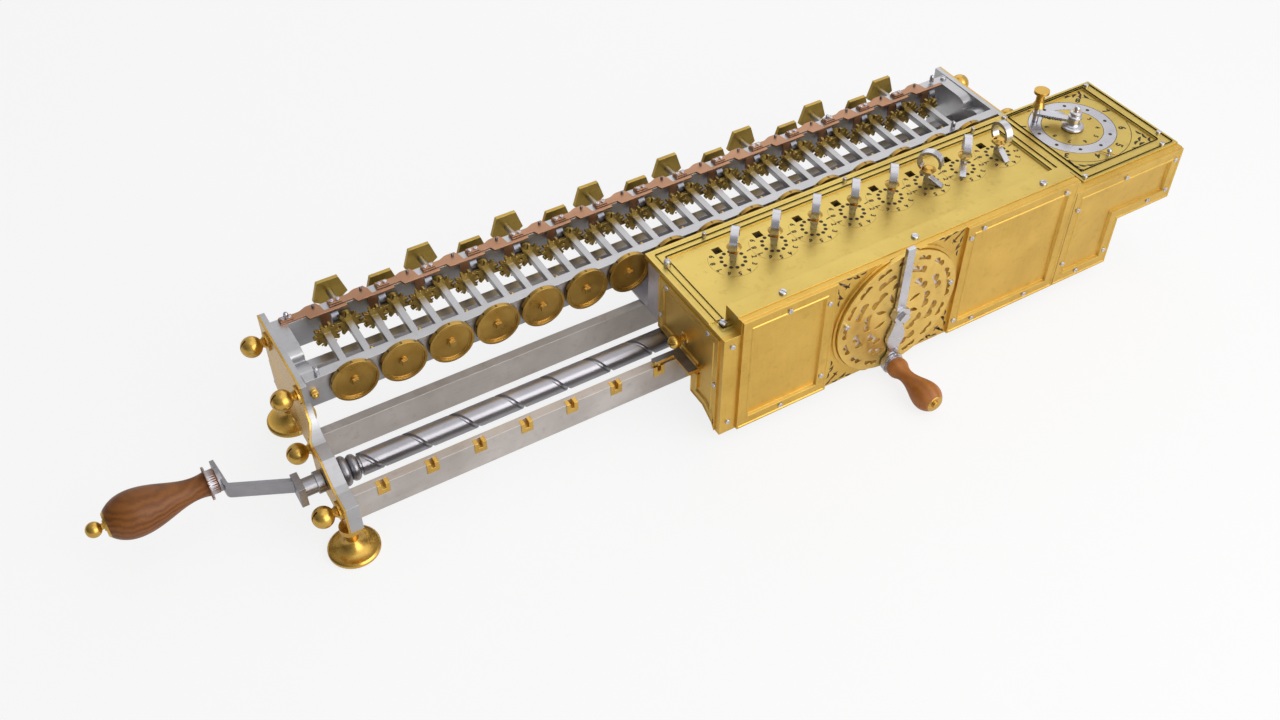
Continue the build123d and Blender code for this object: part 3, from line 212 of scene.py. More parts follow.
def metalFinish(name, own):
    look = {**metalBase, **own}
    f = Finish(bpy.data.materials.new(name))
    near = f.place()
    cloud = f.noise(near, look["cloudScale"], look["cloudDetail"])
    specks = f.noise(near, look["speckScale"])
    spots = f.noise(near, look["spotScale"])
    streak = f.noise(f.place(look["streaks"]), 1.0)
    rounded, wear = f.edges(look["edge"])
    colour = f.mix(f.spread(cloud, *look["cloudRange"]), look["dark"], look["light"])
    colour = f.mix(f.spread(spots, *look["spotRange"]) * look["spots"], colour, look["tarnish"])
    colour = f.mix(f.spread(specks, *look["speckRange"]) * look["specks"], colour, look["tarnish"])
    colour = f.mix(f.spread(streak, *look["streakRange"]) * look["streak"], colour, look["bright"])
    colour = f.mix(wear * look["wear"], colour, look["bright"])
    smooth, brushed = [look["rough"] + change for change in look["streakRough"]]
    rough = f.spread(streak, *look["streakRange"], smooth, brushed)
    rough = rough + f.spread(cloud, *look["dullRange"]) * look["cloudRough"] - wear * look["wearRough"]
    height = streak * look["streakRelief"] + spots * look["spotRelief"] + specks * look["speckRelief"]
    normal = f.node("ShaderNodeBump", None, {
        "Height": height, "Strength": look["bump"], "Distance": look["bumpDepth"], "Normal": rounded})
    return f.finish(f.node("ShaderNodeBsdfPrincipled", None, {
        "Base Color": colour, "Roughness": rough, "Metallic": look["metallic"], "Normal": normal}))


finishes = {name: metalFinish(name, own) for name, own in metals.items()}

# woods of the two grips: year rings along the grain, dark pores and paler worn patches
woodBase = {
    "warpScale": 16, "warp": 0.028, "ringRange": (0.05, 0.95),
    "ringWaves": {"Distortion": 3.0, "Detail": 3.0, "Detail Scale": 1.5},
    "poreScale": (1300, 1300, 70), "poreRange": (0.52, 0.72), "pores": 0.45,
    "patchScale": 38, "patchRange": (0.35, 0.7), "patches": 0.4, "softNoise": 0.5,
    "edge": 0.0006, "wear": 0.3, "roughRange": (0.4, 0.7, 0.36, 0.50),
    "poreRelief": 0.6, "ringRelief": 0.15, "bump": 0.12, "bumpDepth": 0.0003,
    "polish": {"Coat Weight": 0.06, "Coat Roughness": 0.25, "Specular IOR Level": 0.25},
}
woods = {
    "crankWood": {
        "turn": (math.pi / 2, 0, 0), "rings": 60, "dark": (0.34, 0.120, 0.030), "light": (0.42, 0.160, 0.042),
        "warm": (0.50, 0.200, 0.056), "pore": (0.24, 0.080, 0.022),
    },
    "screwWood": {
        "turn": (0, math.pi / 2, 0), "rings": 85, "dark": (0.145, 0.045, 0.009), "light": (0.245, 0.085, 0.018),
        "warm": (0.30, 0.110, 0.025), "pore": (0.12, 0.038, 0.010),
    },
}


def woodFinish(name, own):
    look = {**woodBase, **own}
    f = Finish(bpy.data.materials.new(name))
    along = f.place(turn=look["turn"])
    warp = f.noise(along, look["warpScale"], rough=look["softNoise"], output=1)
    bent = f.node("ShaderNodeMix", {"data_type": "VECTOR"}, {0: look["warp"], 4: along, 5: warp}, 1)
    bands = {"wave_type": "BANDS", "bands_direction": "X", "wave_profile": "SIN"}
    rings = f.node("ShaderNodeTexWave", bands, {"Vector": bent, "Scale": look["rings"], **look["ringWaves"]})
    pores = f.noise(f.place(look["poreScale"], look["turn"]), 1.0)
    patches = f.noise(along, look["patchScale"], rough=look["softNoise"])
    colour = f.mix(f.spread(rings, *look["ringRange"]), look["dark"], look["light"])
    colour = f.mix(f.spread(patches, *look["patchRange"]) * look["patches"], colour, look["warm"])
    colour = f.mix(f.spread(pores, *look["poreRange"]) * look["pores"], colour, look["pore"])
    rounded, wear = f.edges(look["edge"])
    colour = f.mix(wear * look["wear"], colour, look["warm"])
    height = pores * look["poreRelief"] + rings * look["ringRelief"]
    normal = f.node("ShaderNodeBump", None, {
        "Height": height, "Strength": look["bump"], "Distance": look["bumpDepth"], "Normal": rounded})
    rough = f.spread(pores, *look["roughRange"])
    return f.finish(f.node("ShaderNodeBsdfPrincipled", None, {
        "Base Color": colour, "Roughness": rough, "Normal": normal, **look["polish"]}))


finishes.update({name: woodFinish(name, own) for name, own in woods.items()})

# painted shade in engraved and pierced marks, dark or only a little darker than the brass
cutBase = {
    "grainScale": 900, "grainDetail": 4, "grainRange": (0.35, 0.7), "roughRange": (0.3, 0.7, 0.5, 0.75),
    "metallic": 0.1, "bump": 0.3, "bumpDepth": 0.0002,
}
cuts = {
    # dark painted shade of cut marks: figures, holes, leaves, frames and circles
    "paintedCutShade": {"dark": (0.022, 0.013, 0.005), "light": (0.060, 0.036, 0.012)},
    # lighter painted shade of the thin engraved lines on the setting dials
    "paintedLineShade": {"dark": (0.25, 0.150, 0.030), "light": (0.34, 0.210, 0.045)},
}


def cutFinish(name, own):
    look = {**cutBase, **own}
    f = Finish(bpy.data.materials.new(name))
    grain = f.noise(f.place(), look["grainScale"], look["grainDetail"])
    colour = f.mix(f.spread(grain, *look["grainRange"]), look["dark"], look["light"])
    rough = f.spread(grain, *look["roughRange"])
    normal = f.node("ShaderNodeBump", None, {
        "Height": grain, "Strength": look["bump"], "Distance": look["bumpDepth"]})
    return f.finish(f.node("ShaderNodeBsdfPrincipled", None, {
        "Base Color": colour, "Roughness": rough, "Metallic": look["metallic"], "Normal": normal}))


finishes.update({name: cutFinish(name, own) for name, own in cuts.items()})
print("finishes", len(finishes))

# finishes of the machine's own nodes
nodeFinish = {
    "left_end_plate": "barSteel", "right_end_plate": "barSteel", "face_plates": "turnedBrass",
    "front_rail": "railSteel", "rear_rail": "railSteel", "rail_inserts": "turnedBrass",
    "feet": "turnedBrass", "ball_head_screws": "turnedBrass", "result_bars": "barSteel",
    "wave_blocks": "barSteel", "carry_shafts": "barSteel", "carry_wheels": "gearBrass",
    "carry_plates": "copper", "pentagon_discs": "vaneBrass", "front_cover": "frontBrass",
    "fretwork_panel": "frontBrass", "front_ledge": "deckBrass", "top_plate": "deckBrass",
    "side_panels": "frontBrass", "inner_frame": "backSteel", "latch": "turnedBrass",
    "pierced_wheel": "wheelBrass", "crank": "polishedSteel", "crank_grip": "crankWood",
    "worm_shaft": "screwSteel", "worm_grip": "screwWood", "multiplier_ring": "polishedSteel",
    "multiplier_lever": "polishedSteel", "result_wheel": "discBrass", "setting_knob": "polishedSteel",
    "stepped_drum": "gearBrass",
}
# parts of a node with another finish: the finish, the axis, and the span along it that the finish takes
secondFinish = {
    "latch": [("blueSteel", 2, 55.6, 55.8)],
    "inner_frame": [("frontBrass", 2, 115.0, 116.0), ("frontBrass", 0, -30.3, -29.4)],
    "result_wheel": [("barSteel", 1, -0.6, 60), ("gearBrass", 1, 10.9, 13.1), ("gearBrass", 1, 47.9, 52)],
    "setting_knob": [("turnedBrass", 2, 114.25, 118.2)],
    "multiplier_lever": [("turnedBrass", 2, 117.9, 140)],
    "crank_grip": [("polishedSteel", 1, -124.2, -121), ("turnedBrass", 1, -175, -172.9)],
    "worm_grip": [("turnedBrass", 0, -465, -449.6), ("polishedSteel", 0, -381.4, -378.5)],
}
toDrawing = toScene.inverted()


def paintNode(obj, first, spans):
    obj.data.materials.clear()
    for finish in [first] + [span[0] for span in spans]:
        obj.data.materials.append(finishes[finish])
    for face in obj.data.polygons:
        centre = toDrawing @ face.center
        face.material_index = 0
        for slot, (finish, axis, low, high) in enumerate(spans, 1):
            if low < centre[axis] < high:
                face.material_index = slot


for name, obj in nodes.items():
    kind = name if name in nodeFinish else name.rsplit("_", 1)[0]  # numbered nodes share one finish
    paintNode(obj, nodeFinish[kind], secondFinish.get(kind, []))
print("nodes painted")

# small workshop: shapes are made in millimetres, facing up the z axis
weld = 0.0001  # doubles closer than this become one
cornerAngle = 0.5  # radians, past which an edge is a corner
quarter = math.pi / 2
facing = {  # the turn that makes a shape face this way, and the axis that it then looks along
    "up": (Matrix.Identity(4), 2),
    "front": (Matrix.Rotation(quarter, 4, "X"), 1),
    "rear": (Matrix.Rotation(-quarter, 4, "X"), 1),
    "left": (Matrix.Rotation(-quarter, 4, "Y"), 0),
}


def turnedShape(profile, steps=20):
    bm = bmesh.new()
    verts = [bm.verts.new((radius, 0, height)) for radius, height in profile]
    edges = [bm.edges.new(pair) for pair in zip(verts, verts[1:])]
    bmesh.ops.spin(bm, geom=verts + edges, axis=(0, 0, 1), cent=(0, 0, 0), angle=2 * math.pi,
                   steps=steps, use_merge=True)
    bmesh.ops.remove_doubles(bm, verts=bm.verts, dist=weld)
    bmesh.ops.recalc_face_normals(bm, faces=bm.faces)
    return bm


def slotted(bm, width, depth, above, lean=0.06, slack=0.02):
    # saws a screwdriver slot, with walls that lean a little, across the top of a turned shape
    for side in (-1, 1):
        for reach in (width / 2, width / 2 + lean):
            geometry = list(bm.verts) + list(bm.edges) + list(bm.faces)
            bmesh.ops.bisect_plane(bm, geom=geometry, plane_co=(side * reach, 0, 0), plane_no=(1, 0, 0), dist=weld)
    low = [v for v in bm.verts if abs(v.co.x) < width / 2 + slack and v.co.z > above]
    bmesh.ops.translate(bm, verts=low, vec=(0, 0, -depth))
    return bm


def movedOut(bm, grown, way):
    # moves the new vertices of an extrusion, and returns them
    verts = [v for v in grown["geom"] if isinstance(v, bmesh.types.BMVert)]
    bmesh.ops.translate(bm, verts=verts, vec=way)
    bmesh.ops.recalc_face_normals(bm, faces=bm.faces)
    return verts


def breakEdges(bm, edges, offset, segments=2):
    bmesh.ops.bevel(bm, geom=edges, offset=offset, offset_type="OFFSET", segments=segments, profile=0.5,
                    affect="EDGES", material=-1)


def slabShape(outline, thickness, bevel=0.0, segments=2):
    # a flat plate on the xy plane, with its edges broken
    bm = bmesh.new()
    face = bm.faces.new([bm.verts.new((x, y, 0)) for x, y in outline])
    movedOut(bm, bmesh.ops.extrude_face_region(bm, geom=[face]), (0, 0, thickness))
    if bevel:
        breakEdges(bm, [e for e in bm.edges if e.calc_face_angle(0) > cornerAngle], bevel, segments)
    return bm


def ringShape(edges, inset, width, height, widthShare=0.3, heightShare=0.6):
    # a raised frame inside a rectangle, with its upper edges broken by the smaller of two shares
    x0, x1, y0, y1 = edges
    bm = bmesh.new()
    corners = [(x0 + inset, y0 + inset), (x1 - inset, y0 + inset), (x1 - inset, y1 - inset), (x0 + inset, y1 - inset)]
    face = bm.faces.new([bm.verts.new((x, y, 0)) for x, y in corners])
    rim = bmesh.ops.inset_region(bm, faces=[face], thickness=width, use_even_offset=True, use_boundary=True)
    bmesh.ops.delete(bm, geom=[face], context="FACES_ONLY")
    raised = movedOut(bm, bmesh.ops.extrude_face_region(bm, geom=rim["faces"]), (0, 0, height))
    top = [e for e in bm.edges if all(v in raised for v in e.verts) and e.calc_face_angle(0) > cornerAngle]
    breakEdges(bm, top, min(width * widthShare, height * heightShare))
    return bm


def arcShape(radius, width, first, last, steps, thickness):
    # a thin line along part of a circle, or all of it
    bm = bmesh.new()
    cosine, sine = math.cos(math.radians(first)), math.sin(math.radians(first))
    line = [bm.verts.new((reach * cosine, reach * sine, 0)) for reach in (radius, radius + width)]
    edge = bm.edges.new(line)
    bmesh.ops.spin(bm, geom=line + [edge], axis=(0, 0, 1), cent=(0, 0, 0), angle=math.radians(last - first),
                   steps=steps, use_merge=last - first >= 360)
    bmesh.ops.recalc_face_normals(bm, faces=bm.faces)
    movedOut(bm, bmesh.ops.extrude_face_region(bm, geom=list(bm.faces)), (0, 0, thickness))
    return bm


def circleOutline(radius, steps=14):
    turns = [2 * math.pi * k / steps for k in range(steps)]
    return [(radius * math.cos(turn), radius * math.sin(turn)) for turn in turns]


def leafOutline(length, width, bend, steps=6):
    # a curved leaf, pointed at both ends
    shares = [2 * k / steps - 1 for k in range(steps + 1)]
    upper = [(length * t, (bend + width) * (1 - t * t)) for t in shares]
    return upper + [(length * t, (bend - width) * (1 - t * t)) for t in reversed(shares[1:-1])]


def curveShape(curve):
    # the shape of a text or a curve, which is then thrown away
    holder = bpy.data.objects.new(curve.name, curve)
    bpy.context.scene.collection.objects.link(holder)
    mesh = bpy.data.meshes.new_from_object(holder.evaluated_get(bpy.context.evaluated_depsgraph_get()))
    bm = bmesh.new()
    bm.from_mesh(mesh)
    bmesh.ops.remove_doubles(bm, verts=bm.verts, dist=weld)
    bpy.data.objects.remove(holder)
    bpy.data.curves.remove(curve)
    bpy.data.meshes.remove(mesh)
    return bm


def numeralShapes(size, depth=0.06, bold=0.035):
    # the ten figures as thin raised shapes, centred
    shapes = []
    for figure in range(machine["figures"]):
        curve = bpy.data.curves.new("figure", "FONT")
        curve.body = str(figure)
        curve.size = size
        curve.align_x = "CENTER"
        curve.align_y = "CENTER"
        curve.extrude = depth
        curve.offset = size * bold
        curve.resolution_u = 2
        shapes.append(curveShape(curve))
    return shapes


def wireShape(points, radius):
    # round wire along a smooth line
    curve = bpy.data.curves.new("wire", "CURVE")
    curve.dimensions = "3D"
    curve.bevel_depth = radius
    curve.bevel_resolution = 2
    curve.resolution_u = 6
    curve.use_fill_caps = True
    line = curve.splines.new("NURBS")
    line.points.add(len(points) - 1)
    for point, spot in zip(line.points, points):
        point.co = (*spot, 1)
    line.order_u = 3
    line.use_endpoint_u = True
    bm = curveShape(curve)
    bmesh.ops.recalc_face_normals(bm, faces=bm.faces)
    return bm


def bentStrip(path, x0, x1, thickness):
    # a strip of sheet metal, bent along a path in y and z
    bm = bmesh.new()
    line = [bm.verts.new((x0, y, z)) for y, z in path]
    edges = [bm.edges.new(pair) for pair in zip(line, line[1:])]
    movedOut(bm, bmesh.ops.extrude_edge_only(bm, edges=edges), (x1 - x0, 0, 0))
    bmesh.ops.solidify(bm, geom=list(bm.faces), thickness=thickness)
    return bm


# shares of a screw head's radius and height, and its usual slot
headLook = {"foot": -0.1, "footShare": 0.94, "wallFrom": 0.1, "wallTo": 0.62, "shoulder": 0.88, "crown": 0.5,
            "steps": 16, "slot": 0.5, "sunk": 0.45, "slotAbove": 0.5}


def screwHead(radius, height, slot=headLook["slot"], sunk=headLook["sunk"]):
    look = headLook
    profile = [(0, look["foot"]), (radius * look["footShare"], look["foot"]), (radius, look["wallFrom"]),
               (radius, height * look["wallTo"]), (radius * look["shoulder"], height * look["shoulder"]),
               (radius * look["crown"], height), (0, height)]
    return slotted(turnedShape(profile, look["steps"]), slot, sunk, height * look["slotAbove"])


def put(point, face="up", turn=0.0):
    return Matrix.Translation(point) @ facing[face][0] @ Matrix.Rotation(math.radians(turn), 4, "Z")


def putEach(spots, face="up", level=None):
    # spots are x, y, z and a turn; a level stands in for the axis that the face looks along
    matrices = []
    for *point, turn in spots:
        if level is not None:
            point.insert(facing[face][1], level)
        matrices.append(put(point, face, turn))
    return matrices


def around(centre, radius, degrees, upright=False):
    # a point on a circle that lies flat, or stands upright and faces the front
    x, y, z = centre
    turn = math.radians(degrees)
    across, along = radius * math.cos(turn), radius * math.sin(turn)
    return (x + across, y, z + along) if upright else (x + across, y + along, z)


def gather(shapes):
    # one shape from several, each a bmesh with the matrices that place its copies
    bm = bmesh.new()
    for shape, matrices in shapes:
        mesh = bpy.data.meshes.new("shape")
        shape.to_mesh(mesh)
        shape.free()
        for matrix in matrices:
            before = len(bm.verts)
            bm.from_mesh(mesh)
            bm.verts.ensure_lookup_table()
            bmesh.ops.transform(bm, matrix=matrix, verts=bm.verts[before:])
        bpy.data.meshes.remove(mesh)
    return bm


def place(name, shapes, finish, body, sharp=40):
    # makes a piece of gathered shapes, in metres, that rides on a body
    bm = gather(shapes)
    bmesh.ops.transform(bm, matrix=toScene, verts=bm.verts)
    mesh = bpy.data.meshes.new(name)
    bm.to_mesh(mesh)
    bm.free()
    mesh.shade_smooth()
    mesh.set_sharp_from_angle(angle=math.radians(sharp))
    piece = bpy.data.objects.new(name, mesh)
    bpy.context.scene.collection.objects.link(piece)
    mesh.materials.append(finishes[finish])
    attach(piece, body)


def screwPiece(name, look, body):
    # each group has a size, which is radius, height and an unusual slot's width and depth, and its spots
    groups = [(screwHead(*group["size"]), putEach(group["spots"], group.get("face", "up"), group.get("level")))
              for group in look.values()]
    place(name, groups, "polishedSteel", body)


# mouldings on the front plates and on the left side
mouldingLook = {
    "sharp": 20,
    "front": {  # bands are the inset and the rise of each step
        "foot": (0, machine["frontFace"], 0), "proud": 2.4,
        "bands": [(1.3, 0), (0.5, -0.6), (5.6, 0), (0.6, 0.6), (1.2, 0), (0.9, -2.2)],
    },
    "left": {
        "foot": (-43.6, 0, 0), "proud": 1.5,
        "bands": [(0.8, 0), (0.4, -0.5), (4.2, 0), (0.5, 0.5), (0.8, 0), (0.7, -1.3)],
    },
    "outlines": {
        "left": ("front", [(-29.6, 9.3), (50.3, 9.3), (50.3, 115.7), (-29.6, 115.7)]),
        "middle": ("front", [(168.9, 9.3), (279.1, 9.3), (279.1, 115.7), (168.9, 115.7)]),
        "corner": ("front", [(279.7, 9.3), (338.1, 9.3), (338.1, 55.3), (394.1, 55.3), (394.1, 103.7),
                             (279.7, 103.7)]),
        "side": ("left", [(9.8, -108.3), (15.2, -104.6), (22.6, -92.2), (23.0, -75.8), (51.0, -75.8),
                          (51.0, -29.3), (100.7, -29.3), (100.7, -108.3)]),
    },
}


def moulded(outline, proud, bands):
    bm = slabShape(outline, proud)
    top = max(bm.faces, key=lambda face: face.calc_center_median().z)
    for inset, rise in bands:
        bmesh.ops.inset_region(bm, faces=[top], thickness=inset, depth=rise, use_even_offset=True, use_boundary=True)
    return bm


for part, (face, outline) in mouldingLook["outlines"].items():
    strip = mouldingLook[face]
    shape = moulded(outline, strip["proud"], strip["bands"])
    place("moulding_" + part, [(shape, [put(strip["foot"], face)])], "frontBrass", "carriage", mouldingLook["sharp"])

# raised beads and fine grooves along the edges of the deck and of the dial box; the grooves are flat rings of darker
# brass, a painted shade
rimLook = {
    "height": 0.9, "grooveHeight": 0.05,
    "edges": {  # from and to in x, then in y
        "deck": (-43.6, 292.4, -108.5, -7.5), "box": (292.4, 394.4, -108.5, -7.5),
        "opening": (300.4, 383.4, -97.5, -12.5),
    },
    "beads": [("deck", 5.4, 1.1), ("deck", 10.9, 1.2), ("box", 3.0, 1.1), ("opening", 0.0, 1.1)],  # inset and width
    "grooves": [("deck", 2.6, 0.5), ("deck", 6.5, 0.6), ("deck", 10.2, 0.6), ("box", 1.8, 0.5), ("box", 4.1, 0.6)],
}
rimPlace = [put((0, 0, machine["rimTop"]))]
# groove rings take the darker disc brass as painted groove shade
for name, kind, height, finish in (("rim_beads", "beads", rimLook["height"], "deckBrass"),
                                   ("rim_grooves", "grooves", rimLook["grooveHeight"], "discBrass")):
    rings = [(ringShape(rimLook["edges"][edge], inset, width, height), rimPlace)
             for edge, inset, width in rimLook[kind]]
    place(name, rings, finish, "carriage")
print("mouldings made")

# screws of the front, side and deck plates
panelScrewLook = {
    "plates": {
        "size": (2.1, 1.5), "face": "front", "level": -115.4,
        "spots": [(9.5, 109.5, 20), (44.6, 99.7, 50), (44.8, 27, 35), (9, 14.6, 70), (173.4, 104.6, 25),
                  (173.4, 21.5, 60), (184.7, 110, 40), (193, 14.8, 15), (266.6, 110, 75), (285.6, 84.8, 35),
                  (285.6, 30, 65), (333.6, 98, 20), (388.3, 94.6, 50), (387.9, 65, 30), (369.5, 61, 10),
                  (332.4, 24.5, 45), (304.7, 14.8, 80), (248, 14.8, 55)],
    },
    "strip": {
        "size": (2.1, 1.5), "face": "front", "level": -113.5,
        "spots": [(-36.6, 96, 40), (-36.8, 20.1, 65)],
    },
    "side": {
        "size": (2.0, 1.4), "face": "left", "level": -44.6,
        "spots": [(-94.8, 97.6, 30), (-105.4, 55.3, 60), (-40.6, 97.6, 15), (-32.6, 66, 45)],
    },
}
screwPiece("panel_screws", panelScrewLook, "carriage")
deckScrewLook = {
    "ledge": {
        "size": (2.9, 1.8, 0.6, 0.6), "level": machine["ledgeTop"],
        "spots": [(10.8, -103.3, 25), (128.1, -102.9, 60), (252.1, -103.3, 40)],
    },
    "frontCorner": {"size": (2.9, 1.8, 0.6, 0.6), "level": machine["rimTop"], "spots": [(-35, -98.2, 40)]},
    "box": {
        "size": (2.1, 2.6), "level": machine["rimTop"],
        "spots": [(387.4, -12.6, 30), (389.6, -91.9, 50), (380.2, -104.6, 20), (297.2, -104.6, 70),
                  (296.6, -12.8, 10)],
    },
    "rear": {
        "size": (1.7, 4.4, 0.45), "level": machine["rimTop"],
        "spots": [(3.8, -13.4, 35), (133.1, -13.4, 15), (262, -13.4, 50)],
    },
    "rearCorner": {"size": (2.7, 5.6, 0.6, 0.7), "level": machine["rimTop"], "spots": [(-36.6, -27.3, 55)]},
}
screwPiece("deck_screws", deckScrewLook, "carriage")

# posts and screws that stand on the bars of the result side
barPostLook = {
    "posts": {
        "size": (1.9, 6.4, 0.5, 0.5),
        "spots": [(-292.8, 4.2, 100, 20), (-291.4, 65, 100.4, 60), (257.4, 4.2, 100, 35), (285.2, 65.2, 100.4, 10)],
    },
    "low": {
        "size": (2.6, 2.2, 0.6, 0.6),
        "spots": [(298.4, 65, 99, 40), (-298.2, 40.5, 76, 15), (298.2, 40.5, 76, 70)],
    },
    "taller": {"size": (1.6, 7.2, 0.45), "spots": [(174.4, 64.6, 99, 20)]},
}
screwPiece("bar_posts", barPostLook, "frame")

# square brass pegs in the front bar, each with a collar and a round tip
pegLook = {
    "half": 2.4, "height": 3.6, "bevel": 0.4, "spots": [(-298.4, 88, 0), (298.4, 88, 0)], "y": 0.5,
    "collar": [(0, 0), (3.1, 0), (3.1, 0.6), (2.2, 1.0), (0, 1.0)],
    "tip": [(0, 3.5), (1.4, 3.5), (1.4, 4.2), (0.9, 4.7), (0, 4.8)], "tipSteps": 14,
}
half = pegLook["half"]
peg = slabShape([(-half, -half), (half, -half), (half, half), (-half, half)], pegLook["height"], pegLook["bevel"])
collar = turnedShape(pegLook["collar"])
tip = turnedShape(pegLook["tip"], pegLook["tipSteps"])
pegs = putEach(pegLook["spots"], "front", pegLook["y"])
place("bar_pegs", [(peg, pegs), (collar, pegs), (tip, pegs)], "turnedBrass", "frame")

# steel keepers behind the end plates, each with a screw
keeperLook = {
    "width": 3.4, "length": 27, "thick": 2.4, "bevel": 0.5, "x": 306.4, "y": 80.4, "low": 27,
    "screw": (1.9, 1.6), "screwUp": 3, "screwTurn": 30,
}
half, length, thick = keeperLook["width"] / 2, keeperLook["length"], keeperLook["thick"]
keeper = slabShape([(-half, 0), (half, 0), (half, length), (-half, length)], thick, keeperLook["bevel"])
sides = (-keeperLook["x"], keeperLook["x"])
keepers = [put((x, keeperLook["y"], keeperLook["low"]), "rear", 180) for x in sides]
screwHeight = keeperLook["low"] + keeperLook["screwUp"]
heads = [put((x, keeperLook["y"] + thick, screwHeight), "rear", keeperLook["screwTurn"]) for x in sides]
place("end_keepers", [(keeper, keepers), (screwHead(*keeperLook["screw"]), heads)], "polishedSteel", "frame")
print("screws made")

# clamps of the copper springs, each with two screws and an engraved frame painted dark as its shade
clampLook = {
    "y": 64.9, "top": 102.0, "screw": (1.7, 0.9, 0.4, 0.4), "screws": [(-24.4, 0), (-19.7, 50)], "turnStep": 20,
    "markX": -22, "markLevel": 100.4, "mark": (-4.9, 4.9, -3.0, 3.0), "markWidth": 0.4, "markHeight": 0.08,
}
clampScrews = []
for index, x in enumerate(discs):
    for offset, turn in clampLook["screws"]:
        spot = (x + offset, clampLook["y"], clampLook["top"])
        clampScrews.append(put(spot, "up", clampLook["turnStep"] * index + turn))
place("clamp_screws", [(screwHead(*clampLook["screw"]), clampScrews)], "polishedSteel", "frame")
mark = ringShape(clampLook["mark"], 0, clampLook["markWidth"], clampLook["markHeight"])
marks = [put((x + clampLook["markX"], clampLook["y"], clampLook["markLevel"])) for x in discs]
place("clamp_marks", [(mark, marks)], "paintedCutShade", "frame")

# dark rivets that hold the copper springs
rivetLook = {
    "x": -1.2, "y": 67.6, "foot": 100.4, "steps": 12,
    "profile": [(0, -0.1), (1.1, -0.1), (1.1, 1.6), (0.7, 2.2), (0, 2.3)],
}
rivets = [put((x + rivetLook["x"], rivetLook["y"], rivetLook["foot"])) for x in discs]
place("spring_rivets", [(turnedShape(rivetLook["profile"], rivetLook["steps"]), rivets)], "blueSteel", "frame")

# turned pins on the shafts between the discs
pinLook = {
    "x": 1.4, "y": 12.0, "foot": 91.8, "steps": 14,
    "profile": [(0, 0), (0.8, 0), (0.8, 3.4), (1.3, 3.9), (1.55, 4.6), (1.3, 5.4), (0.7, 5.9), (0, 6.0)],
}
pins = [put((x + machine["pitch"] / 2 + pinLook["x"], pinLook["y"], pinLook["foot"])) for x in discs[:-1]]
place("shaft_pins", [(turnedShape(pinLook["profile"], pinLook["steps"]), pins)], "turnedBrass", "frame")

# dark leaf springs that lean from the rear bar onto the stars
springLook = {
    "from": 7.6, "to": 13.2, "thick": 0.7,
    "path": [(61.3, 98.4), (59.0, 98.2), (57.0, 96.4), (55.8, 93.6), (55.4, 90.6), (56.0, 88.6)],
}
spring = bentStrip(springLook["path"], springLook["from"], springLook["to"], springLook["thick"])
place("star_springs", [(spring, [put((x, 0, 0)) for x in discs])], "blueSteel", "frame")

# small brass studs near the tips of the star teeth
studLook = {
    "circle": 8.6, "front": 47.9, "first": 90, "steps": 8,
    "profile": [(0, -0.1), (0.75, -0.1), (0.75, 0.35), (0.4, 0.75), (0, 0.8)],
}
for index, x in enumerate(discs, 1):
    hub = (x, studLook["front"], machine["discAxis"])
    turns = [machine["figureTurn"] * k + studLook["first"] for k in range(machine["figures"])]
    studs = [put(around(hub, studLook["circle"], degrees, True), "front") for degrees in turns]
    stud = turnedShape(studLook["profile"], studLook["steps"])
    place("star_studs_%02d" % index, [(stud, studs)], "turnedBrass", "wheel_%02d" % index)

# figures round the rims of the result discs, painted dark as the shade of their engraving
rimFigureLook = {"size": 3.3, "radius": 17.0, "y": -2.45}
for index, x in enumerate(discs, 1):
    figures = []
    for figure, shape in enumerate(numeralShapes(rimFigureLook["size"])):
        turn = math.radians(machine["figureTurn"] * figure)
        across, up = rimFigureLook["radius"] * math.sin(turn), rimFigureLook["radius"] * math.cos(turn)
        spot = Matrix.Translation((x + across, rimFigureLook["y"], machine["discAxis"] + up))
        figures.append((shape, [spot @ Matrix.Rotation(turn, 4, "Y")]))
    place("rim_figures_%02d" % index, figures, "paintedCutShade", "wheel_%02d" % index)
print("result side dressed")

# setting dials: pin holes as flat discs of painted shade, and figures and thin lines with the shade of their
# engraving painted in
dialLook = {
    "mark": 0.04, "holes": 12, "holeCircle": 9.0, "holeRadius": 1.55, "firstHole": 16,
    "figure": 5.4, "figureCircle": 15.7, "firstFigure": 40, "figureStep": -29,
    "lineCircle": 18.6, "lineWidth": 0.22, "lineSteps": 16, "lines": [(-127, -53), (143, 217)],
}
dialCentres = [(x, machine["dialY"], machine["deckTop"]) for x in dials]
turns = [dialLook["firstHole"] + 360 / dialLook["holes"] * k for k in range(dialLook["holes"])]
holes = [put(around(centre, dialLook["holeCircle"], degrees)) for centre in dialCentres for degrees in turns]
# each pin hole is a flat dark disc, a painted shade
place("dial_hole_shade", [(slabShape(circleOutline(dialLook["holeRadius"]), dialLook["mark"]), holes)],
      "paintedCutShade", "carriage")
# figures painted dark as the shade of their engraving
figures = []
for figure, shape in enumerate(numeralShapes(dialLook["figure"])):
    degrees = dialLook["firstFigure"] + dialLook["figureStep"] * figure
    spots = [put(around(centre, dialLook["figureCircle"], degrees), "up", degrees - 90) for centre in dialCentres]
    figures.append((shape, spots))
place("dial_figures", figures, "paintedCutShade", "carriage")
# thin lines painted a little darker than the brass, as the shade in their engraving
lines = []
for first, last in dialLook["lines"]:
    line = arcShape(dialLook["lineCircle"], dialLook["lineWidth"], first, last, dialLook["lineSteps"],
                    dialLook["mark"])
    lines.append((line, [put(centre) for centre in dialCentres]))
place("dial_lines", lines, "paintedLineShade", "carriage")
print("setting dials marked")

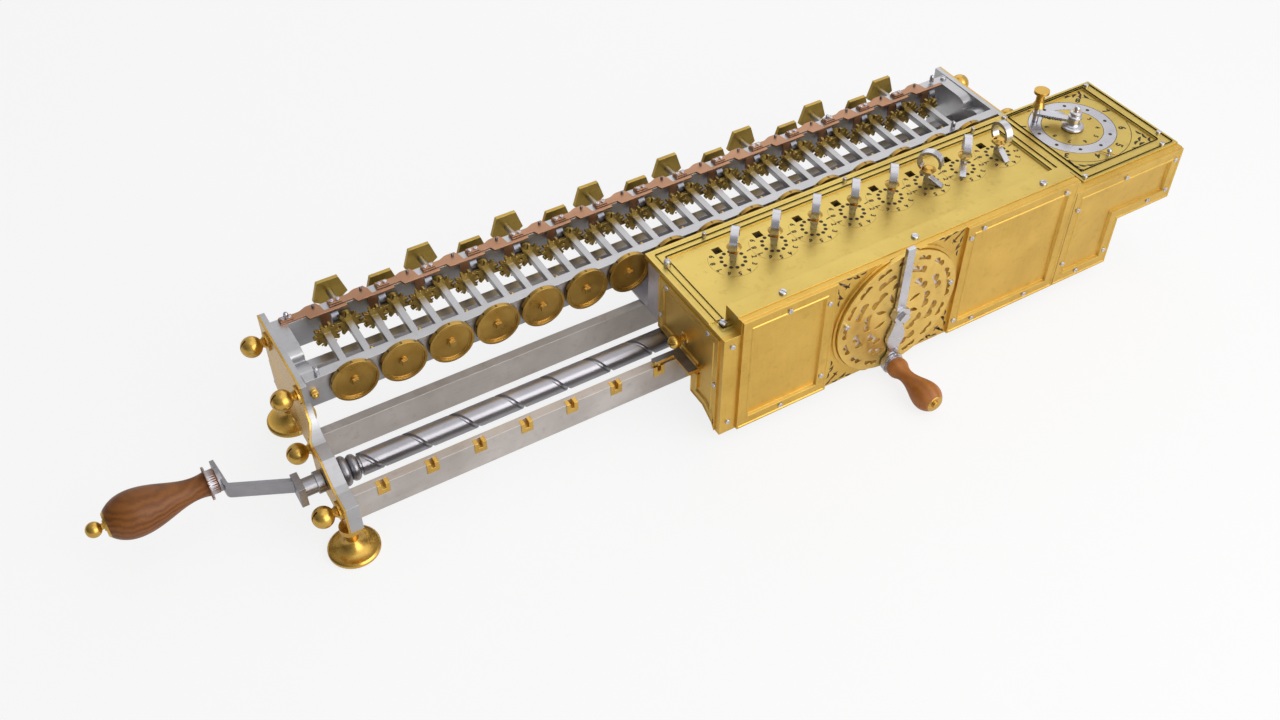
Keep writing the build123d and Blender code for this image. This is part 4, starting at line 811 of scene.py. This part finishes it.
# multiplier dial: two rings of figures that run opposite ways, painted dark as the shade of their engraving
boxCentre = (*machine["boxDial"], machine["deckTop"])
multiplierLook = {
    "first": 112,
    "outer": {"size": 8.4, "circle": 40.0, "order": range(10)},
    "inner": {"size": 5.4, "circle": 20.3, "order": range(10, 0, -1)},
}
figures = []
for ring in (multiplierLook["outer"], multiplierLook["inner"]):
    for step, shape in zip(ring["order"], numeralShapes(ring["size"])):
        degrees = multiplierLook["first"] + machine["figureTurn"] * step
        figures.append((shape, [put(around(boxCentre, ring["circle"], degrees), "up", degrees - 90)]))
place("multiplier_figures", figures, "paintedCutShade", "carriage")

# leaves in the corners of the dial box, flat and painted dark as the shade of their cuts
fretLook = {
    "leaf": (3.7, 1.15, 1.3), "mark": 0.05,
    "spots": [(364.5, -15.6, 0), (371, -17.0, 20), (378, -16.4, 65), (379, -22.4, 85), (374.6, -20.6, 45),
              (379.0, -82.0, 100), (379.4, -88, 75), (373.2, -89.4, 40), (379.4, -94, 45), (367, -91.6, 20),
              (369.6, -95, 5), (361.6, -94.8, 170), (303.9, -83.5, 80), (303.7, -89, 110), (308.6, -90.8, 135),
              (314.4, -93.4, 155), (304.6, -94.6, 135), (321, -94.8, 175)],
}
frets = putEach(fretLook["spots"], "up", machine["deckTop"])
place("corner_frets", [(slabShape(leafOutline(*fretLook["leaf"]), fretLook["mark"]), frets)], "paintedCutShade", "carriage")

# holes in the steel ring as flat dark discs of painted shade, and the engraved circles and arcs about it painted dark
# as their shade
ringLook = {
    "hole": 1.5, "holeCircle": 30.1, "firstHole": 130.5, "holeMark": 0.05, "mark": 0.04,
    "edges": (24.7, 35.15), "edgeWidth": 0.35, "edgeSteps": 64,
    "arcCircle": 46.4, "arcWidth": 0.5, "arcSteps": 20, "arcs": [(18, 48), (-86, -20), (-139, -94)],
}
turns = [ringLook["firstHole"] + machine["figureTurn"] * k for k in range(machine["figures"])]
holes = [put(around(boxCentre, ringLook["holeCircle"], degrees)) for degrees in turns]
place("ring_hole_shade", [(slabShape(circleOutline(ringLook["hole"]), ringLook["holeMark"]), holes)],
      "paintedCutShade", "dial_ring")
edges = [arcShape(radius, ringLook["edgeWidth"], 0, 360, ringLook["edgeSteps"], ringLook["mark"])
         for radius in ringLook["edges"]]
place("ring_edges", [(edge, [put(boxCentre)]) for edge in edges], "paintedCutShade", "carriage")
arcs = [arcShape(ringLook["arcCircle"], ringLook["arcWidth"], first, last, ringLook["arcSteps"], ringLook["mark"])
        for first, last in ringLook["arcs"]]
place("corner_arcs", [(arc, [put(boxCentre)]) for arc in arcs], "paintedCutShade", "carriage")

# turned stack in the middle of the multiplier dial, as radius and height from the deck
stackLook = {
    "steps": 32,
    "profile": [(0, 0.15), (7.6, 0.15), (8.8, 0.5), (9.1, 1.3), (8.7, 2.3), (7.0, 3.1), (5.6, 3.5), (5.0, 4.2),
                (4.5, 5.6), (4.6, 8.5), (5.4, 9.2), (5.7, 10.2), (5.4, 11.2), (4.3, 11.9), (3.9, 12.3),
                (4.5, 12.8), (4.9, 13.7), (4.6, 14.8), (3.4, 15.6), (2.0, 16.0), (1.6, 16.6), (2.1, 17.2),
                (2.5, 18.2), (2.2, 19.4), (1.2, 20.3), (0, 20.5)],
}
stack = turnedShape(stackLook["profile"], stackLook["steps"])
place("multiplier_stack", [(stack, [put(boxCentre)])], "polishedSteel", "dial_lever")

# toothed edge and tongue of the multiplier lever
leverLook = {
    "turn": 130.5, "height": 110.2,
    "rackStart": 9.5, "rackPoints": 17, "rackBack": 2.4, "rackRoot": 3.2, "rackTip": 4.6,
    "rackThick": 1.8, "rackBevel": 0.12,
    "tongue": [(8.5, -7.2), (13, -8.2), (19, -6.6), (21, -2.6), (8.5, -2.6)], "tongueThick": 1.4, "tongueBevel": 0.25,
}
leverPlace = [put((*machine["boxDial"], leverLook["height"]), "up", leverLook["turn"])]
start, last = leverLook["rackStart"], leverLook["rackPoints"] - 1
teeth = [(start + k, leverLook["rackTip"] if k % 2 else leverLook["rackRoot"]) for k in range(last + 1)]
rackOutline = [(start, leverLook["rackBack"])] + teeth + [(start + last, leverLook["rackBack"])]
rack = slabShape(rackOutline, leverLook["rackThick"], leverLook["rackBevel"], 1)
tongue = slabShape(leverLook["tongue"], leverLook["tongueThick"], leverLook["tongueBevel"])
place("lever_rack", [(rack, leverPlace)], "blueSteel", "dial_lever")
place("lever_tongue", [(tongue, leverPlace)], "polishedSteel", "dial_lever")

# stop of the multiplier dial, and the wire spring beside it
stopLook = {
    "spot": (335.4, -91.6), "steps": 18,
    "profile": [(0, -0.1), (1.8, -0.1), (1.8, 0.5), (1.0, 0.9), (0.9, 2.6), (1.6, 3.0), (2.1, 3.9), (2.1, 4.6),
                (1.5, 5.6), (0.7, 6.1), (0, 6.2)],
    "wireRadius": 0.4,
    "wire": [(331.6, -84.6, 104.9), (333.6, -87.2, 105.0), (334.2, -89.6, 105.2), (336.6, -92.4, 105.4),
             (338.8, -95.2, 105.2), (342.2, -96.6, 104.9)],
}
stop = turnedShape(stopLook["profile"], stopLook["steps"])
place("dial_stop", [(stop, [put((*stopLook["spot"], machine["deckTop"]))])], "polishedSteel", "carriage")
wire = wireShape(stopLook["wire"], stopLook["wireRadius"])
place("stop_spring", [(wire, [Matrix.Identity(4)])], "turnedBrass", "carriage")
print("multiplier dressed")

# screws that turn with the pierced wheel and its crank
crankScrewLook = {
    "wheel": {
        "size": (2.2, 2.6, 0.5, 0.6), "face": "front", "level": -117.2,
        "spots": [(61.1, 70.6, 30), (158.1, 70.6, 60)],
    },
    "arm": {"size": (2.1, 1.4), "face": "front", "level": -121.3, "spots": [(111.4, 25.6, 40)]},
}
screwPiece("wheel_screws", {"wheel": crankScrewLook["wheel"]}, "crank_body")
screwPiece("arm_screw", {"arm": crankScrewLook["arm"]}, "crank_body")

# steel sheet seen through the pierced wheel, its steel painted pale as painted light against the shade there, and
# leaves in the corners round it painted dark as the shade of their cuts
backLook = {
    "centre": (109.6, 62.6), "sheetFront": -113.8, "radius": 49.6, "bore": 9.0, "thick": 1.2, "bevel": 0.3,
    "steps": 48, "leaf": (3.2, 0.85, 0.9), "mark": 0.05, "corners": (42.2, 137.8, 222.2, 317.8),
    "leaves": [(62.6, -13, 62), (62.6, 13, -62), (65.5, -7.5, 20), (65.5, 7.5, -20), (66.5, 0, 90), (70.6, -5, 40),
               (70.6, 5, -40), (74.4, 0, 0)],  # distance, degrees from the corner, and turn
}
x, z = backLook["centre"]
radius, bore, thick, bevel = [backLook[key] for key in ("radius", "bore", "thick", "bevel")]
sheet = turnedShape([(bore, -thick), (radius, -thick), (radius, -bevel), (radius - bevel, 0), (bore + bevel, 0),
                     (bore, -bevel), (bore, -thick)], backLook["steps"])
place("wheel_back", [(sheet, [put((x, backLook["sheetFront"], z), "front")])], "backSteel", "carriage")
leaves = []
for corner in backLook["corners"]:
    for distance, offset, turn in backLook["leaves"]:
        degrees = corner + offset
        spot = around((x, machine["frontFace"], z), distance, degrees, True)
        leaves.append(put(spot, "front", degrees + turn))
place("wheel_leaves", [(slabShape(leafOutline(*backLook["leaf"]), backLook["mark"]), leaves)], "paintedCutShade", "carriage")

# ball-headed screw on the left side
ballLook = {
    "spot": (-43.6, -64.3, 67.4), "turn": 25, "radius": 5.2, "reach": 8.8, "steps": 32,
    "collar": [(0, 0), (5.6, 0), (5.6, 0.8), (4.6, 1.5), (2.4, 1.9)], "ballTurns": range(28, 180, 9),
    "slotWidth": 0.9, "slotDepth": 1.6, "slotAbove": 3.0,
}
radius, reach = ballLook["radius"], ballLook["reach"]
turns = [math.radians(degrees) for degrees in ballLook["ballTurns"]]
arc = [(radius * math.sin(turn), reach - radius * math.cos(turn)) for turn in turns]
ball = turnedShape(ballLook["collar"] + arc + [(0, reach + radius)], ballLook["steps"])
ball = slotted(ball, ballLook["slotWidth"], ballLook["slotDepth"], reach + ballLook["slotAbove"])
place("side_ball", [(ball, [put(ballLook["spot"], "left", ballLook["turn"])])], "turnedBrass", "carriage")
print("carriage dressed")

# floor of pale paper; sizes are in metres, and the glow shows only to the camera and in gloss
floorLook = {
    "size": 25.0, "drop": 0.0002, "tones": ((0.86, 0.86, 0.86), (0.88, 0.88, 0.88)), "grainScale": 60,
    "grainDetail": 4, "grainRange": (0.3, 0.7), "paper": {"Roughness": 0.8, "Specular IOR Level": 0.2},
    "seenGlow": 0.82, "shineGlow": 0.35,
}
white = (1, 1, 1, 1)


def makeFloor(look):
    mesh = bpy.data.meshes.new("floor")
    bm = bmesh.new()
    bmesh.ops.create_grid(bm, x_segments=1, y_segments=1, size=look["size"])
    bmesh.ops.translate(bm, verts=bm.verts, vec=(0, 0, -look["drop"]))
    bm.to_mesh(mesh)
    bm.free()
    floor = bpy.data.objects.new("floor", mesh)
    bpy.context.scene.collection.objects.link(floor)
    f = Finish(bpy.data.materials.new("floorPaper"))
    grain = f.noise(f.place(), look["grainScale"], look["grainDetail"])
    colour = f.mix(f.spread(grain, *look["grainRange"]), *look["tones"])
    paper = f.node("ShaderNodeBsdfPrincipled", None, {"Base Color": colour, **look["paper"]})
    glow = f.node("ShaderNodeEmission", None, {"Color": white, "Strength": 1.0})
    seen = f.node("ShaderNodeLightPath", output="Is Camera Ray")
    shine = f.node("ShaderNodeLightPath", output="Is Glossy Ray")
    share = seen * look["seenGlow"] + shine * look["shineGlow"]
    floor.data.materials.append(f.finish(f.node("ShaderNodeMixShader", None, {0: share, 1: paper, 2: glow})))


makeFloor(floorLook)

# sky: white to the camera, softer as light, brighter in gloss and darker from the left
skyLook = {"soft": 0.46, "shine": 0.70, "leftShade": 0.22, "shadeFrom": -0.9, "shadeTo": 0.2}
world = bpy.data.worlds.new("studio")
bpy.context.scene.world = world
sky = Finish(world, "ShaderNodeOutputWorld")
seen = sky.node("ShaderNodeLightPath", output="Is Camera Ray")
shine = sky.node("ShaderNodeLightPath", output="Is Glossy Ray")
across = sky.node("ShaderNodeSeparateXYZ", None, {0: sky.node("ShaderNodeTexCoord", output="Generated")})
level = skyLook["soft"] + shine * (skyLook["shine"] - skyLook["soft"])
level = level * sky.spread(across, skyLook["shadeFrom"], skyLook["shadeTo"], skyLook["leftShade"], 1.0)
sky.finish(sky.node("ShaderNodeBackground", None, {"Color": white, "Strength": seen + (1 - seen) * level}))

lampAim = (60, -20, 60)
lamps = {
    "keyLamp": {"spot": (760, 1150, 1000), "size": 1.5, "power": 4.5},
    "frontLamp": {"spot": (420, -1250, 620), "size": 1.5, "power": 16},
    "topLamp": {"spot": (300, -300, 1500), "size": 1.6, "power": 5},
}
for name, look in lamps.items():
    light = bpy.data.lights.new(name, "AREA")
    light.shape = "SQUARE"
    light.size = look["size"]
    light.energy = look["power"]
    lamp = bpy.data.objects.new(name, light)
    bpy.context.scene.collection.objects.link(lamp)
    lamp.location = at(*look["spot"])
    aim = at(*lampAim) - lamp.location
    lamp.rotation_euler = aim.to_track_quat("-Z", "Y").to_euler()

cameraLook = {
    "spot": (-426.26, -643.1, 740.3), "turn": -30.78, "tilt": 44.88, "lens": 37.53, "sensor": 36,
    "clip": (0.01, 60),
}
cameraData = bpy.data.cameras.new("photoCamera")
cameraData.lens = cameraLook["lens"]
cameraData.sensor_width = cameraLook["sensor"]
cameraData.clip_start, cameraData.clip_end = cameraLook["clip"]
camera = bpy.data.objects.new("photoCamera", cameraData)
bpy.context.scene.collection.objects.link(camera)
camera.location = at(*cameraLook["spot"])
camera.rotation_euler = (math.radians(cameraLook["tilt"]), 0, math.radians(cameraLook["turn"]))
bpy.context.scene.camera = camera
bpy.context.scene.view_settings.view_transform = "Standard"
print("stage and camera ready")
